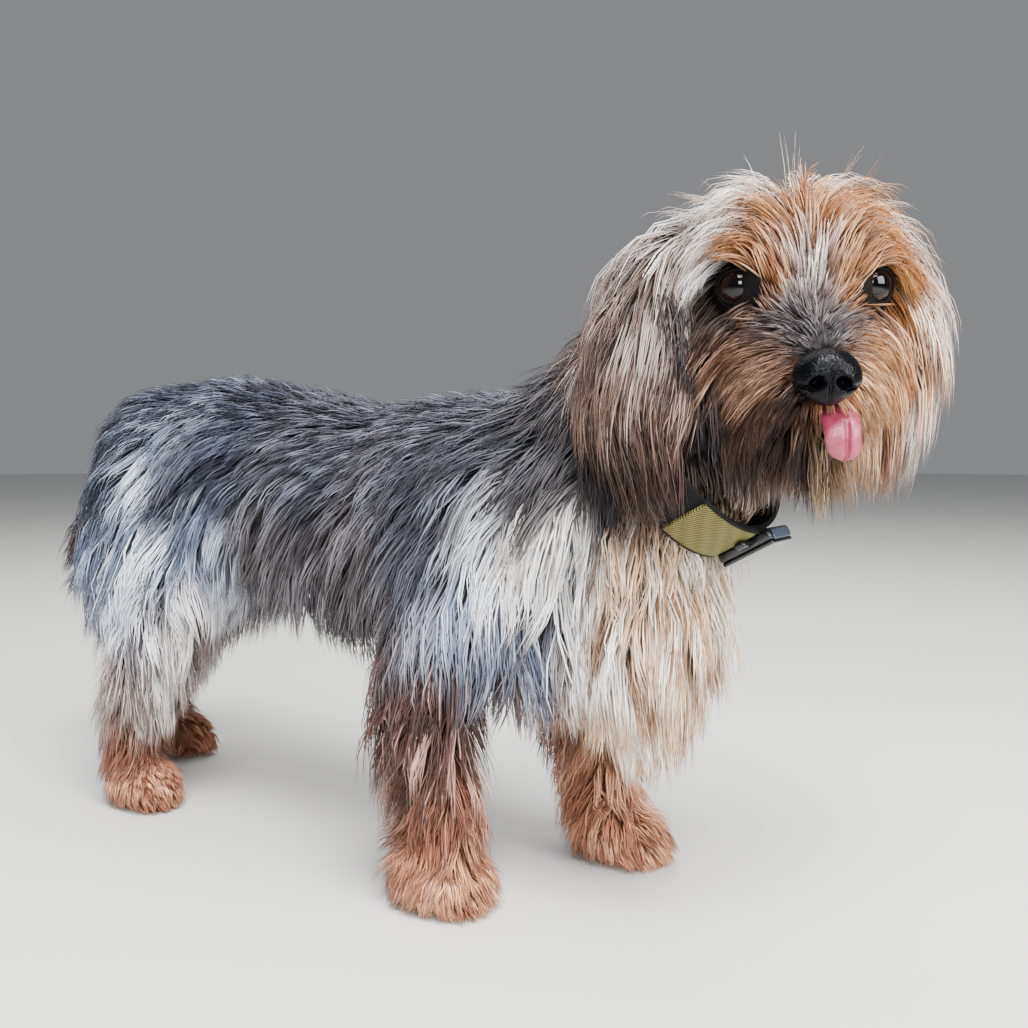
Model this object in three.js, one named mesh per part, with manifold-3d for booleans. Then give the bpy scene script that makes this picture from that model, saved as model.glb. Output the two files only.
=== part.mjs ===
// A Yorkshire terrier, life size, standing with its head turned to its right and its tongue just
// out, wearing a collar. Millimetres, +X towards the chest, +Y to the dog's left, +Z up, the floor
// at z = 0. The coat is built as flat, tapered locks on a body that reaches part way to their tips.
import * as THREE from "three";
import { mergeVertices } from "three/addons/utils/BufferGeometryUtils.js";
import Module from "manifold-3d";

const wasm = await Module();
wasm.setup();

// How far the flesh of a node reaches into its coat: 1 is out to the tips, 0 the bare skin
const COAT_SHARE = 0.5;
// Clear space between two nodes that touch
const GAP = 0.35;

// Driving sizes of the dog
const WITHERS = 214;
const CHEST_BOTTOM = 108;
const CHEST_HALF_WIDTH = 46;
const SKULL_CENTRE = new THREE.Vector3(122, 3, 256);
const HEAD_TURN = (-57 * Math.PI) / 180;
const HEAD_NOD = (7 * Math.PI) / 180;
const EYE_RADIUS = 8.5;
const EYE_SPACING = 46;

const v3 = (x, y, z) => new THREE.Vector3(x, y, z);
const FORWARD = v3(1, 0, 0);
const UP = v3(0, 0, 1);

// Closed solids and how they join

function solid(geometry, nearness = 1e-3) {
  const bare = geometry.index ? geometry.toNonIndexed() : geometry.clone();
  for (const name of Object.keys(bare.attributes)) if (name !== "position") bare.deleteAttribute(name);
  const merged = mergeVertices(bare, nearness);
  const made = new wasm.Manifold(
    new wasm.Mesh({
      numProp: 3,
      vertProperties: merged.attributes.position.array,
      triVerts: new Uint32Array(merged.index.array),
    }),
  );
  if (made.volume() < 0) throw new Error("a surface is inside out");
  return made;
}

const fuse = (shapes) => wasm.Manifold.union(shapes);

function largest(shape) {
  const bodies = shape.decompose();
  return bodies.reduce((a, b) => (b.volume() > a.volume() ? b : a));
}

// A stretch of the body: stations of [x, y, z, half width, half height, coat depth] along a curve.
// It is a sphere drawn out along the curve, so both ends are round and it is closed.

function stretch(stations, { up = UP, sides = 14, rings = 12, capStart = 0.12, capEnd = 0.12 }) {
  const centres = new THREE.CatmullRomCurve3(stations.map((s) => v3(s[0], s[1], s[2])));
  const sizes = new THREE.CatmullRomCurve3(stations.map((s) => v3(s[3], s[4], s[5])));
  const station = (t) => {
    const along = centres.getTangent(t);
    const side = new THREE.Vector3().crossVectors(up, along).normalize();
    const rise = new THREE.Vector3().crossVectors(along, side).normalize();
    const size = sizes.getPoint(t);
    return { centre: centres.getPoint(t), along, side, rise, half: size.x, tall: size.y, coat: size.z };
  };
  // How round the ends are: the ring's share of its full size at t
  const cap = (t) => {
    const near = Math.min(capStart ? t / capStart : 1, capEnd ? (1 - t) / capEnd : 1, 1);
    return Math.sqrt(Math.max(0, 1 - (1 - near) ** 2));
  };
  const build = (share, grow = 0) => {
    const geometry = new THREE.SphereGeometry(1, sides, rings);
    const position = geometry.attributes.position;
    for (let i = 0; i < position.count; i++) {
      const t = Math.acos(Math.min(1, Math.max(-1, position.getY(i)))) / Math.PI;
      const around = Math.atan2(position.getZ(i), position.getX(i));
      const s = station(t);
      const size = Math.abs(position.getY(i)) > 0.9999 ? 0 : Math.max(cap(t), 0.25);
      const point = s.centre
        .clone()
        .addScaledVector(s.side, (s.half + share * s.coat + grow) * size * Math.cos(around))
        .addScaledVector(s.rise, (s.tall + share * s.coat + grow) * size * Math.sin(around));
      if (size === 0) point.addScaledVector(s.along, (t < 0.5 ? -1 : 1) * (grow + share * s.coat * 0.5));
      position.setXYZ(i, point.x, point.y, point.z);
    }
    return solid(geometry);
  };
  // A point of the flesh's surface, and the way out of it there
  const surface = (t, around) => {
    const s = station(t);
    const size = Math.max(cap(t), 0.25);
    const x = (s.half + COAT_SHARE * s.coat) * size;
    const y = (s.tall + COAT_SHARE * s.coat) * size;
    const end = t < capStart ? -(1 - t / capStart) : t > 1 - capEnd ? 1 - (1 - t) / capEnd : 0;
    return {
      point: s.centre
        .clone()
        .addScaledVector(s.side, x * Math.cos(around))
        .addScaledVector(s.rise, y * Math.sin(around)),
      out: s.side
        .clone()
        .multiplyScalar(Math.cos(around) / x)
        .addScaledVector(s.rise, Math.sin(around) / y)
        .normalize()
        .addScaledVector(s.along, end)
        .normalize(),
      coat: s.coat,
    };
  };
  // The flesh again as a row of egg shapes, to feel how near a point is: below 1 is inside
  const reach = centres.getLength() / 8;
  const eggs = Array.from({ length: 14 }, (_, i) => {
    const s = station((i + 0.5) / 14);
    const size = Math.max(cap((i + 0.5) / 14), 0.3);
    const flesh = COAT_SHARE * s.coat;
    return { ...s, half: (s.half + flesh) * size, tall: (s.tall + flesh) * size };
  });
  const nearest = (point, margin, coatShare = 0) => {
    let best = { level: Infinity };
    for (const egg of eggs) {
      const from = point.clone().sub(egg.centre);
      const room = margin + coatShare * egg.coat;
      const level = Math.hypot(
        from.dot(egg.along) / (reach + room),
        from.dot(egg.side) / (egg.half + room),
        from.dot(egg.rise) / (egg.tall + room),
      );
      if (level < best.level) best = { level, from, egg };
    }
    return best;
  };
  return { station, cap, build, surface, nearest };
}

// Placing a stock shape: its own axes, then a turn and a place
function placed(geometry, { scale = v3(1, 1, 1), along = null, at = v3(0, 0, 0), axes = null }) {
  const made = geometry.clone();
  made.scale(scale.x, scale.y, scale.z);
  if (along) made.applyQuaternion(new THREE.Quaternion().setFromUnitVectors(v3(0, 1, 0), along));
  if (axes) made.applyMatrix4(axes);
  made.translate(at.x, at.y, at.z);
  return solid(made);
}

// The trunk: rump, loin, ribs and the front of the chest, with the ruff that hangs from the throat
const trunk = stretch(
  [
    [-286, 0, 186, 18, 20, 12],
    [-266, 0, 186, 38, 36, 16],
    [-236, 0, 181, 44, 42, 15],
    [-190, 0, 175, 44, 47, 14],
    [-140, 0, 169, 43, 45, 12],
    [-85, 0, 163, 44, 47, 12],
    [-35, 0, 160, CHEST_HALF_WIDTH, (WITHERS - CHEST_BOTTOM) / 2, 13],
    [8, 0, 159, CHEST_HALF_WIDTH, (WITHERS - CHEST_BOTTOM) / 2, 14],
    [44, 0, 156, 42, 48, 22],
    [70, 0, 148, 30, 36, 22],
  ],
  { sides: 16, rings: 15, capEnd: 0.1 },
);
const ruff = stretch(
  [
    [52, 0, 176, 28, 18, 8],
    [64, 0, 156, 30, 15, 14],
    [69, 0, 130, 26, 12, 20],
    [60, 0, 106, 22, 14, 20],
    [56, 0, 90, 12, 9, 12],
  ],
  { up: FORWARD, sides: 12, rings: 8 },
);

const neck = stretch(
  [
    [14, 0, 178, 36, 38, 12],
    [42, 0, 197, 33, 36, 18],
    [66, -2, 217, 26, 31, 22],
    [90, -1, 238, 25, 28, 22],
    [108, 0, 252, 26, 26, 14],
  ],
  { sides: 12, rings: 7 },
);

// Axes of the head: forward along the muzzle, left, and up
const headAxes = new THREE.Matrix4()
  .makeTranslation(SKULL_CENTRE)
  .multiply(new THREE.Matrix4().makeRotationZ(HEAD_TURN))
  .multiply(new THREE.Matrix4().makeRotationY(HEAD_NOD));
const headTurn = new THREE.Matrix4().extractRotation(headAxes);
const onHead = (f, l, u) => v3(f, l, u).applyMatrix4(headAxes);
const headWay = (f, l, u) => v3(f, l, u).transformDirection(headAxes);
const headStations = (list) => list.map(([f, l, u, ...sizes]) => [...onHead(f, l, u).toArray(), ...sizes]);
const headUp = headWay(0, 0, 1);

const skull = stretch(
  headStations([
    [-36, 0, 0, 22, 20, 16],
    [-18, 0, 4, 31, 28, 20],
    [4, 0, 3, 34, 30, 20],
    [22, 0, -2, 30, 27, 12],
    [34, 0, -8, 22, 19, 10],
  ]),
  { up: headUp, sides: 16, rings: 10, capStart: 0.2, capEnd: 0.15 },
);
const muzzle = stretch(
  headStations([
    [14, 0, -10, 24, 20, 12],
    [34, 0, -15, 18, 14, 14],
    [52, 0, -19, 14, 11, 10],
    [64, 0, -21, 11, 9, 4],
  ]),
  { up: headUp, sides: 12, rings: 7, capStart: 0.2, capEnd: 0.2 },
);
const chin = stretch(
  headStations([
    [10, 0, -32, 20, 9, 16],
    [30, 0, -37, 16, 7, 16],
    [46, 0, -40, 11, 5, 12],
    [58, 0, -41, 8, 4, 5],
  ]),
  { up: headUp, sides: 12, rings: 7, capStart: 0.2, capEnd: 0.2 },
);

// One leg is a chain of stretches from where it leaves the trunk to the paw. shaft is the x of the
// shin, paw the x of the paw's middle, y the distance out from the midline.
function frontLeg({ y, shaft, paw }) {
  return {
    upper: stretch(
      [
        [shaft + 8, y * 0.74, 172, 14, 28, 10],
        [shaft + 4, y * 0.87, 144, 17, 26, 14],
        [shaft - 6, y, 112, 13, 20, 18],
        [shaft - 8, y, 86, 10, 14, 18],
      ],
      { up: FORWARD, sides: 10, rings: 7 },
    ),
    lower: stretch(
      [
        [shaft - 7, y, 88, 10, 14, 17],
        [shaft - 4, y, 64, 8.5, 10, 15],
        [shaft, y, 42, 8.5, 9.5, 11],
        [(shaft + paw) / 2, y, 24, 9.5, 11, 7],
      ],
      { up: FORWARD, sides: 10, rings: 6 },
    ),
    paw: pawShape(paw, y, 1),
  };
}

function hindLeg({ y, shaft, paw, knee }) {
  return {
    upper: stretch(
      [
        [-236, y * 0.62, 190, 20, 34, 10],
        [-232, y * 0.84, 156, 21, 38, 14],
        [(shaft + knee) / 2 - 22, y * 0.98, 118, 17, 30, 18],
        [(shaft + knee) / 2 - 30, y, 88, 12, 22, 20],
      ],
      { up: FORWARD, sides: 10, rings: 7 },
    ),
    lower: stretch(
      [
        [(shaft + knee) / 2 - 30, y, 90, 12, 22, 20],
        [shaft + 4, y, 66, 9, 14, 20],
        [shaft - 6, y, 46, 8.5, 11, 18],
        [(shaft + paw) / 2 - 2, y, 24, 9, 10, 12],
      ],
      { up: FORWARD, sides: 10, rings: 6 },
    ),
    paw: pawShape(paw, y, 0.95),
  };
}

function pawShape(x, y, size) {
  const s = size;
  return stretch(
    [
      [x - 20 * s, y, 13, 10 * s, 9, 6],
      [x - 6 * s, y, 15, 13.5 * s, 12, 8],
      [x + 12 * s, y, 12, 14 * s, 9.5, 8],
      [x + 22 * s, y, 9, 10 * s, 6, 5],
    ],
    { sides: 12, rings: 6, capStart: 0.2, capEnd: 0.2 },
  );
}

const LEGS = {
  front_leg_right: frontLeg({ y: -47, shaft: -9, paw: -14 }),
  front_leg_left: frontLeg({ y: 46, shaft: 12, paw: 20 }),
  hind_leg_right: hindLeg({ y: -46, shaft: -235, paw: -232, knee: -150 }),
  hind_leg_left: hindLeg({ y: 30, shaft: -310, paw: -302, knee: -210 }),
};

// A hanging ear with its curtain of hair, from its root on the skull, out and down: places in the
// head's axes, then half widths across and front to back, and coat depth. The right one drapes over
// the side of the neck.
const EAR_PATHS = {
  ear_right: [
    [-14, -30, 28, 5, 10, 8],
    [-10, -52, 14, 7, 14, 12],
    [0, -63, -8, 9, 15, 17],
    [9, -64, -34, 9, 14, 18],
    [15, -60, -58, 6, 9, 14],
  ],
  ear_left: [
    [-12, 30, 24, 5, 12, 8],
    [-10, 42, 10, 6, 16, 10],
    [-4, 47, -12, 6, 18, 10],
    [0, 48, -40, 5, 15, 10],
    [2, 45, -58, 3, 8, 8],
  ],
};
function hangingEar(path) {
  return stretch(headStations(path), {
    up: headWay(1, 0, 0),
    sides: 10,
    rings: 8,
    capStart: 0.15,
    capEnd: 0.15,
  });
}
// The cup is scooped out of the inner face, from under the ear's root to below its middle
function earCup(name) {
  const [, , [f, l, u]] = EAR_PATHS[name];
  const side = name === "ear_left" ? 1 : -1;
  return placed(new THREE.SphereGeometry(1, 10, 8), {
    scale: v3(10, 7, 18),
    axes: headTurn,
    at: onHead(f, l - side * 13, u),
  });
}

const tail = stretch(
  [
    [-272, 0, 206, 9, 9, 8],
    [-292, -4, 200, 8, 8, 9],
    [-305, -9, 178, 6, 6, 11],
    [-308, -12, 150, 4, 4, 12],
    [-304, -13, 124, 2, 2, 7],
  ],
  { up: FORWARD, sides: 10, rings: 8 },
);

// Hair: flat, tapered locks in beds. A bed is rows and columns of roots on a stretch; each lock starts
// in the flesh, runs along the lie, hangs where it is free, and is pushed out of any flesh it meets. It
// falls over the coat of the nodes that come after its own, from the head down to the paws. Where
// there is no room for it, none grows.

let seed = 12;
function random() {
  seed = (seed * 48271) % 2147483647;
  return seed / 2147483647;
}
const vary = (spread) => 1 + spread * (2 * random() - 1);
const ROOT_DEPTH = 4;
const LOCK_STEPS = 2;

const ears = Object.fromEntries(Object.entries(EAR_PATHS).map(([name, path]) => [name, hangingEar(path)]));
const legs = Object.values(LEGS);
const flesh = [
  ...Object.values(ears),
  skull,
  muzzle,
  chin,
  neck,
  trunk,
  ruff,
  tail,
  ...legs.map((leg) => leg.upper),
  ...legs.map((leg) => leg.lower),
  ...legs.map((leg) => leg.paw),
];

function growLock(bed, t, around) {
  const { on, lie, length, width, thick = 3.2 } = bed;
  const start = on.surface(t, around);
  const total = length * vary(0.14);
  const step = total / LOCK_STEPS;
  const lift = (start.coat * (1 - COAT_SHARE) - thick) / total;
  const slope = lie.clone().addScaledVector(start.out, -lie.dot(start.out)).normalize();
  const inward = slope.clone().add(start.out).multiplyScalar(-ROOT_DEPTH);
  const root = start.point.clone().add(inward);
  const path = [root, start.point.clone()];
  const outs = [start.out, start.out];
  let here = start.point.clone();
  const sway = v3(random() - 0.5, random() - 0.5, 0).multiplyScalar(0.25);
  for (let k = 0; k < LOCK_STEPS; k++) {
    const { from, egg } = on.nearest(here, 0);
    const out = from.clone().addScaledVector(egg.along, -from.dot(egg.along)).normalize();
    const way = lie.clone().add(sway).normalize();
    way.addScaledVector(out, -Math.min(0, way.dot(out))).normalize();
    way.addScaledVector(out, [1.4, 0.6][k] * lift);
    const free = here.clone().addScaledVector(way.normalize(), step);
    here = free.clone();
    flesh.forEach((other, i) => {
      const later = i > flesh.indexOf(on) + 1;
      const hit = other.nearest(here, thick * 0.5 + 0.6, later ? 0.5 * (1 - COAT_SHARE) : 0);
      if (hit.level < 1) here = hit.egg.centre.clone().addScaledVector(hit.from, 1 / hit.level);
    });
    here.z = Math.max(here.z, 1.5);
    if (here.distanceTo(free) > 0.75 * step) return null;
    path.push(here);
    outs.push(out);
  }
  // Each ring's own axes: the lock faces one way all along. One that would have to fold is left out.
  const facing = outs.reduce((sum, out) => sum.add(out), v3(0, 0, 0)).normalize();
  const frames = path.map((_, ring) => {
    const ahead = path[Math.min(ring + 1, path.length - 1)];
    const along = ahead.clone().sub(path[Math.max(0, ring - 1)]).normalize();
    const side = new THREE.Vector3().crossVectors(along, facing).normalize();
    return { along, side, out: new THREE.Vector3().crossVectors(side, along) };
  });
  const folds = (a, b) => a.side.dot(b.side) < 0.8 || a.along.dot(b.along) < 0.2;
  if (frames.some((frame, ring) => ring && folds(frame, frames[ring - 1]))) return null;
  return { path, frames, width: width * vary(0.12), thick };
}

function growBed(bed) {
  const locks = [];
  bed.rows.forEach((t, i) => {
    const shift = i % 2 ? 0.5 : 0;
    bed.columns.forEach((degrees, j) => {
      const next = bed.columns[j + 1] ?? degrees;
      const around = ((degrees + (next - degrees) * shift) * Math.PI) / 180;
      locks.push(growLock(bed, t, around + 0.06 * (vary(1) - 1)));
    });
  });
  return locks.filter(Boolean);
}

// A lock is a three-sided bar, ridge outward, widest a quarter of the way along
const LOCK_TAPER = [0.8, 1, 0.85, 0.1];
function lockSolid({ path, frames, width, thick }, grow) {
  const rings = path.length - 1;
  const geometry = new THREE.CylinderGeometry(1, 1, 1, 3, rings);
  const position = geometry.attributes.position;
  for (let i = 0; i < position.count; i++) {
    const ring = Math.round((position.getY(i) + 0.5) * rings);
    const { along, side, out } = frames[ring];
    const taper = LOCK_TAPER[ring];
    const point = path[ring]
      .clone()
      .addScaledVector(side, (position.getX(i) / 0.866) * ((width / 2) * taper + 4 * grow))
      .addScaledVector(out, position.getZ(i) * ((2 / 3) * Math.max(thick * taper, 0.7) + 2 * grow));
    if (ring === rings) point.addScaledVector(along, 1.5 * grow);
    position.setXYZ(i, point.x, point.y, point.z);
  }
  return solid(geometry);
}

// The group that is exported, and how a node joins it

const dog = new THREE.Group();
const clearOf = [];

function material(color, roughness) {
  return new THREE.MeshStandardMaterial({ color, roughness, metalness: 0 });
}
const steelCoat = material(0x5a5a63, 0.75);
const creamCoat = material(0xcbb9a6, 0.75);
const tanCoat = material(0xb07b55, 0.75);
const noseLeather = material(0x17171b, 0.35);
const eyeGlass = material(0x1c100b, 0.08);
const tongueFlesh = material(0xd9828c, 0.4);
const webbing = material(0x16161a, 0.8);
const yellowMesh = material(0xb9ae3c, 0.8);
const blackPlastic = material(0x101114, 0.3);

function geometryOf(shape) {
  const mesh = shape.getMesh();
  const geometry = new THREE.BufferGeometry();
  geometry.setAttribute("position", new THREE.BufferAttribute(new Float32Array(mesh.vertProperties), 3));
  geometry.setIndex(new THREE.BufferAttribute(new Uint32Array(mesh.triVerts), 1));
  return geometry;
}

// Adds a node, cut clear of every node before it. grown is the same shape, larger all round by GAP.
function node(name, shape, grown, finish) {
  const cut = clearOf.reduce((left, other) => left.subtract(other), shape);
  // Points that nearly touch are made one, on three grids, as two on either side of a grid line stay
  // apart on that grid. Surfaces that only met at a point come apart then, so the pick is made again.
  const kept = [5e-3, 7e-3, 3e-3].reduce((left, near) => largest(solid(geometryOf(left), near)), largest(cut));
  const geometry = geometryOf(kept);
  geometry.computeVertexNormals();
  const made = new THREE.Mesh(geometry, finish);
  made.name = name;
  dog.add(made);
  clearOf.push(grown.add(shape));
}

function bodyNode(name, stretches, finish, { beds = [], cuts = [], adds = () => [], floor = false } = {}) {
  const locks = beds.flatMap(growBed);
  const shaped = (grow) => {
    let shape = fuse([
      ...stretches.map((s) => s.build(COAT_SHARE, grow)),
      ...locks.map((lock) => lockSolid(lock, grow)),
    ]);
    for (const cut of cuts) shape = shape.subtract(cut);
    shape = fuse([shape, ...adds(grow)]);
    return floor ? flatSole(shape) : shape;
  };
  node(name, shaped(0), shaped(GAP), finish);
}

// Everything under the floor is cut away, which leaves each paw a flat sole
function flatSole(shape) {
  const ground = placed(new THREE.BoxGeometry(1000, 1000, 100), { at: v3(0, 0, -50) });
  return shape.subtract(ground);
}

// Eyes, nose, tongue
const eyeCentre = (side) => onHead(24, (side * EYE_SPACING) / 2, 5);
const ball = (radius, at) => placed(new THREE.SphereGeometry(radius, 12, 8), { at });
for (const [name, side] of [
  ["eye_right", -1],
  ["eye_left", 1],
])
  node(name, ball(EYE_RADIUS, eyeCentre(side)), ball(EYE_RADIUS + GAP, eyeCentre(side)), eyeGlass);

const noseAt = onHead(68, 0, -24);
function nosePad(grow) {
  return placed(new THREE.SphereGeometry(1, 12, 8), {
    scale: v3(8 + grow, 11 + grow, 9 + grow),
    axes: headTurn,
    at: noseAt,
  });
}
// A nostril is a round pit with a slit that runs out and back to the side of the nose
function nostril(side) {
  const pit = placed(new THREE.SphereGeometry(1, 6, 5), {
    scale: v3(5, 2.6, 2.8),
    axes: headTurn,
    at: onHead(74.5, side * 4.6, -24.5),
  });
  const slit = placed(new THREE.SphereGeometry(1, 6, 5), {
    scale: v3(6, 4.2, 1.1),
    axes: headTurn,
    at: onHead(72.5, side * 8, -27),
  });
  return fuse([pit, slit]);
}
node("nose", nosePad(0).subtract(nostril(-1)).subtract(nostril(1)), nosePad(GAP), noseLeather);

function tongueShape(grow) {
  return stretch(
    headStations([
      [28, 2, -33, 6, 2, 0],
      [50, 3, -34, 6.5, 2, 0],
      [62, 4, -37, 6.5, 2, 0],
      [67, 4, -43, 6, 2, 0],
      [67, 4, -50, 4, 1.5, 0],
    ]),
    { up: headUp, sides: 10, rings: 8 },
  ).build(0, grow);
}
node("tongue", tongueShape(0), tongueShape(GAP), tongueFlesh);

// A short funnel in front of each eye keeps the coat off it, and a ring round the eye is its lids
const eyeWay = (side) => headWay(0.9, side * 0.42, 0.05).normalize();
const eyeWindows = [-1, 1].map((side) =>
  placed(new THREE.CylinderGeometry(13, 7, 26, 10), {
    along: eyeWay(side),
    at: onHead(40, side * 30, 6),
  }),
);
const LID_THICK = 1.8;
function lids(grow) {
  return [-1, 1].map((side) => {
    const ring = new THREE.TorusGeometry(EYE_RADIUS - 0.6, LID_THICK + grow, 4, 10).rotateX(Math.PI / 2);
    const at = eyeCentre(side).addScaledVector(eyeWay(side), 3.4);
    return placed(ring, { scale: v3(1.08, 1, 0.86), along: eyeWay(side), at });
  });
}

// The upper lip runs from under the nose back to each corner of the mouth
function lips(grow) {
  const edge = (side) => [
    [66, 0, -30, 3, 2.5, 1],
    [60, side * 8, -31, 3, 2.5, 2],
    [44, side * 15, -31, 3, 3, 2],
    [26, side * 20, -31, 3, 3, 2],
  ];
  return [-1, 1].map((side) =>
    stretch(headStations(edge(side)), { up: headUp, sides: 6, rings: 6 }).build(0, grow),
  );
}

// Collar: a webbing band, loose enough to hang lower at the throat, with a mesh panel over it on the
// dog's right, and a flat case with a clip under the throat
const COLLAR = {
  centre: v3(84, -5, 205),
  axis: v3(0.88, -0.05, 0.47).normalize(),
  wide: 41,
  tall: 45,
  width: 20,
  thick: 2.5,
};
const collarOut = new THREE.Vector3().crossVectors(v3(0, 1, 0), COLLAR.axis).normalize();
const collarAcross = new THREE.Vector3().crossVectors(collarOut, COLLAR.axis);
const collarAxes = new THREE.Matrix4().makeBasis(collarOut, COLLAR.axis, collarAcross);
// A length of band: inner and outer faces offset from the collar's oval, from one turn to another.
// Turns count from the throat, minus towards the dog's right.
function bandLength({ from, to, inner, outer, halfWidth, shift = 0 }) {
  const steps = Math.max(6, Math.round(((to - from) / (2 * Math.PI)) * 22));
  const shape = new THREE.Shape();
  const oval = (offset, a) => [(COLLAR.tall + offset) * Math.cos(a), (COLLAR.wide + offset) * Math.sin(a)];
  for (let i = 0; i <= steps; i++) {
    const a = from + ((to - from) * i) / steps;
    if (i) shape.lineTo(...oval(outer, a));
    else shape.moveTo(...oval(outer, a));
  }
  for (let i = steps; i >= 0; i--) shape.lineTo(...oval(inner, from + ((to - from) * i) / steps));
  const geometry = new THREE.ExtrudeGeometry(shape, { depth: halfWidth * 2, bevelEnabled: false });
  geometry.translate(0, 0, shift - halfWidth);
  geometry.rotateX(-Math.PI / 2);
  return placed(geometry, { axes: collarAxes, at: COLLAR.centre });
}
const half = COLLAR.width / 2;
const collarBand = (grow) =>
  fuse(
    [0, 1].map((k) =>
      bandLength({
        from: k * Math.PI - 0.01,
        to: (k + 1) * Math.PI + 0.01,
        inner: -grow,
        outer: COLLAR.thick + grow,
        halfWidth: half + grow,
      }),
    ),
  );
const collarPanel = (grow) =>
  bandLength({
    from: -0.8 - grow / 50,
    to: -0.14 + grow / 50,
    inner: COLLAR.thick + GAP - grow,
    outer: COLLAR.thick + 2 + grow,
    halfWidth: half + 1 + grow,
  });
// The case's own axes: x out from the throat, y along the neck, z across
const collarPoint = (out, along, across) =>
  v3(out, along, across).applyMatrix4(collarAxes).add(COLLAR.centre);
const collarCase = (grow) =>
  placed(new THREE.BoxGeometry(7 + 2 * grow, 25 + 2 * grow, 18 + 2 * grow), {
    axes: collarAxes,
    at: collarPoint(COLLAR.tall + COLLAR.thick + 4, 2, -5),
  });
node("collar_band", collarBand(0), collarBand(GAP), webbing);
node("collar_case", collarCase(0), collarCase(GAP), blackPlastic);
node("collar_panel", collarPanel(0), collarPanel(GAP), yellowMesh);

// Beds of locks. Angles go round a stretch from the dog's left (0) over the top or front (90) to its
// right (180). A lie on the head is given in the head's own axes.

const bothSides = (make) => [make(1), make(-1)];
const mirrored = (side, columns) => columns.map((a) => (side > 0 ? a : 180 - a));

for (const [name, ear] of Object.entries(ears)) {
  const outside = name === "ear_left" ? 0 : 180;
  const columns = [outside - 65, outside, outside + 65];
  bodyNode(name, [ear], tanCoat, {
    cuts: [earCup(name)],
    beds: [{ on: ear, rows: [0.34, 0.78], columns, lie: headWay(0, 0, -1), length: 42, width: 28 }],
  });
}
const backDown = headWay(-0.5, 0, -1);
bodyNode("head", [skull, muzzle], tanCoat, {
  cuts: eyeWindows,
  adds: (grow) => [...lids(grow), ...lips(grow)],
  beds: bothSides((side) => {
    const out = headWay(-0.3, side * 0.9, -0.2);
    const down = headWay(-0.05, side * 0.25, -1);
    const browWay = headWay(0.5, side * 0.5, -0.4);
    return [
      { on: skull, rows: [0.3, 0.58], columns: mirrored(side, [74]), lie: out, length: 40, width: 28 },
      { on: skull, rows: [0.42], columns: mirrored(side, [36]), lie: down, length: 40, width: 30 },
      { on: skull, rows: [0.62], columns: mirrored(side, [-5]), lie: down, length: 34, width: 18 },
      { on: skull, rows: [0.86], columns: mirrored(side, [62]), lie: browWay, length: 20, width: 14 },
      { on: muzzle, rows: [0.55], columns: mirrored(side, [-8]), lie: down, length: 24, width: 20 },
    ];
  })
    .flat()
    .concat([
      { on: skull, rows: [0.1], columns: [90], lie: backDown, length: 42, width: 36 },
      { on: skull, rows: [0.3, 0.7], columns: [90], lie: headWay(-1, 0, 0.3), length: 42, width: 34 },
    ]),
});
bodyNode("jaw", [chin], tanCoat, {
  beds: [
    {
      on: chin,
      rows: [0.35, 0.75],
      columns: [270],
      lie: headWay(0.12, 0, -1),
      length: 34,
      width: 24,
    },
  ],
});
bodyNode("neck", [neck], steelCoat, {
  beds: [
    { on: neck, rows: [0.34, 0.66], columns: [60, 120], lie: v3(-0.7, 0, -0.8), length: 48, width: 36 },
    { on: neck, rows: [0.5], columns: [8, 172], lie: v3(-0.2, 0, -1), length: 44, width: 34 },
  ],
});
const BACK = v3(-1, 0, 0.05);
bodyNode("torso", [trunk, ruff], steelCoat, {
  beds: bothSides((side) => [
    {
      on: trunk,
      rows: [0.12, 0.29, 0.46, 0.63, 0.8],
      columns: mirrored(side, [52]),
      lie: v3(-0.6, side * 0.3, -0.8),
      length: 50,
      width: 38,
    },
    {
      on: trunk,
      rows: [0.1, 0.27, 0.44, 0.61, 0.78],
      columns: mirrored(side, [14]),
      lie: v3(-0.3, 0, -1),
      length: 50,
      width: 38,
    },
    {
      on: trunk,
      rows: [0.3, 0.5, 0.7, 0.88],
      columns: mirrored(side, [-24]),
      lie: v3(-0.15, 0, -1),
      length: 36,
      width: 36,
    },
    {
      on: ruff,
      rows: [0.2, 0.55],
      columns: mirrored(side, [5, 48]),
      lie: v3(0.05, 0, -1),
      length: 44,
      width: 20,
    },
  ])
    .flat()
    .concat([
      {
        on: trunk,
        rows: [0.04],
        columns: [20, 90, 160, 270],
        lie: v3(-0.25, 0, -1),
        length: 44,
        width: 26,
      },
      { on: trunk, rows: [0.16, 0.32, 0.48, 0.64, 0.8], columns: [90], lie: BACK, length: 46, width: 40 },
      { on: ruff, rows: [0.3, 0.7], columns: [90], lie: v3(0.1, 0, -1), length: 38, width: 20 },
    ]),
});
bodyNode("tail", [tail], steelCoat, {
  beds: [
    {
      on: tail,
      rows: [0.16, 0.5, 0.84],
      columns: [190, 280],
      lie: v3(-0.15, 0, -1),
      length: 38,
      width: 18,
    },
  ],
});

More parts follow.
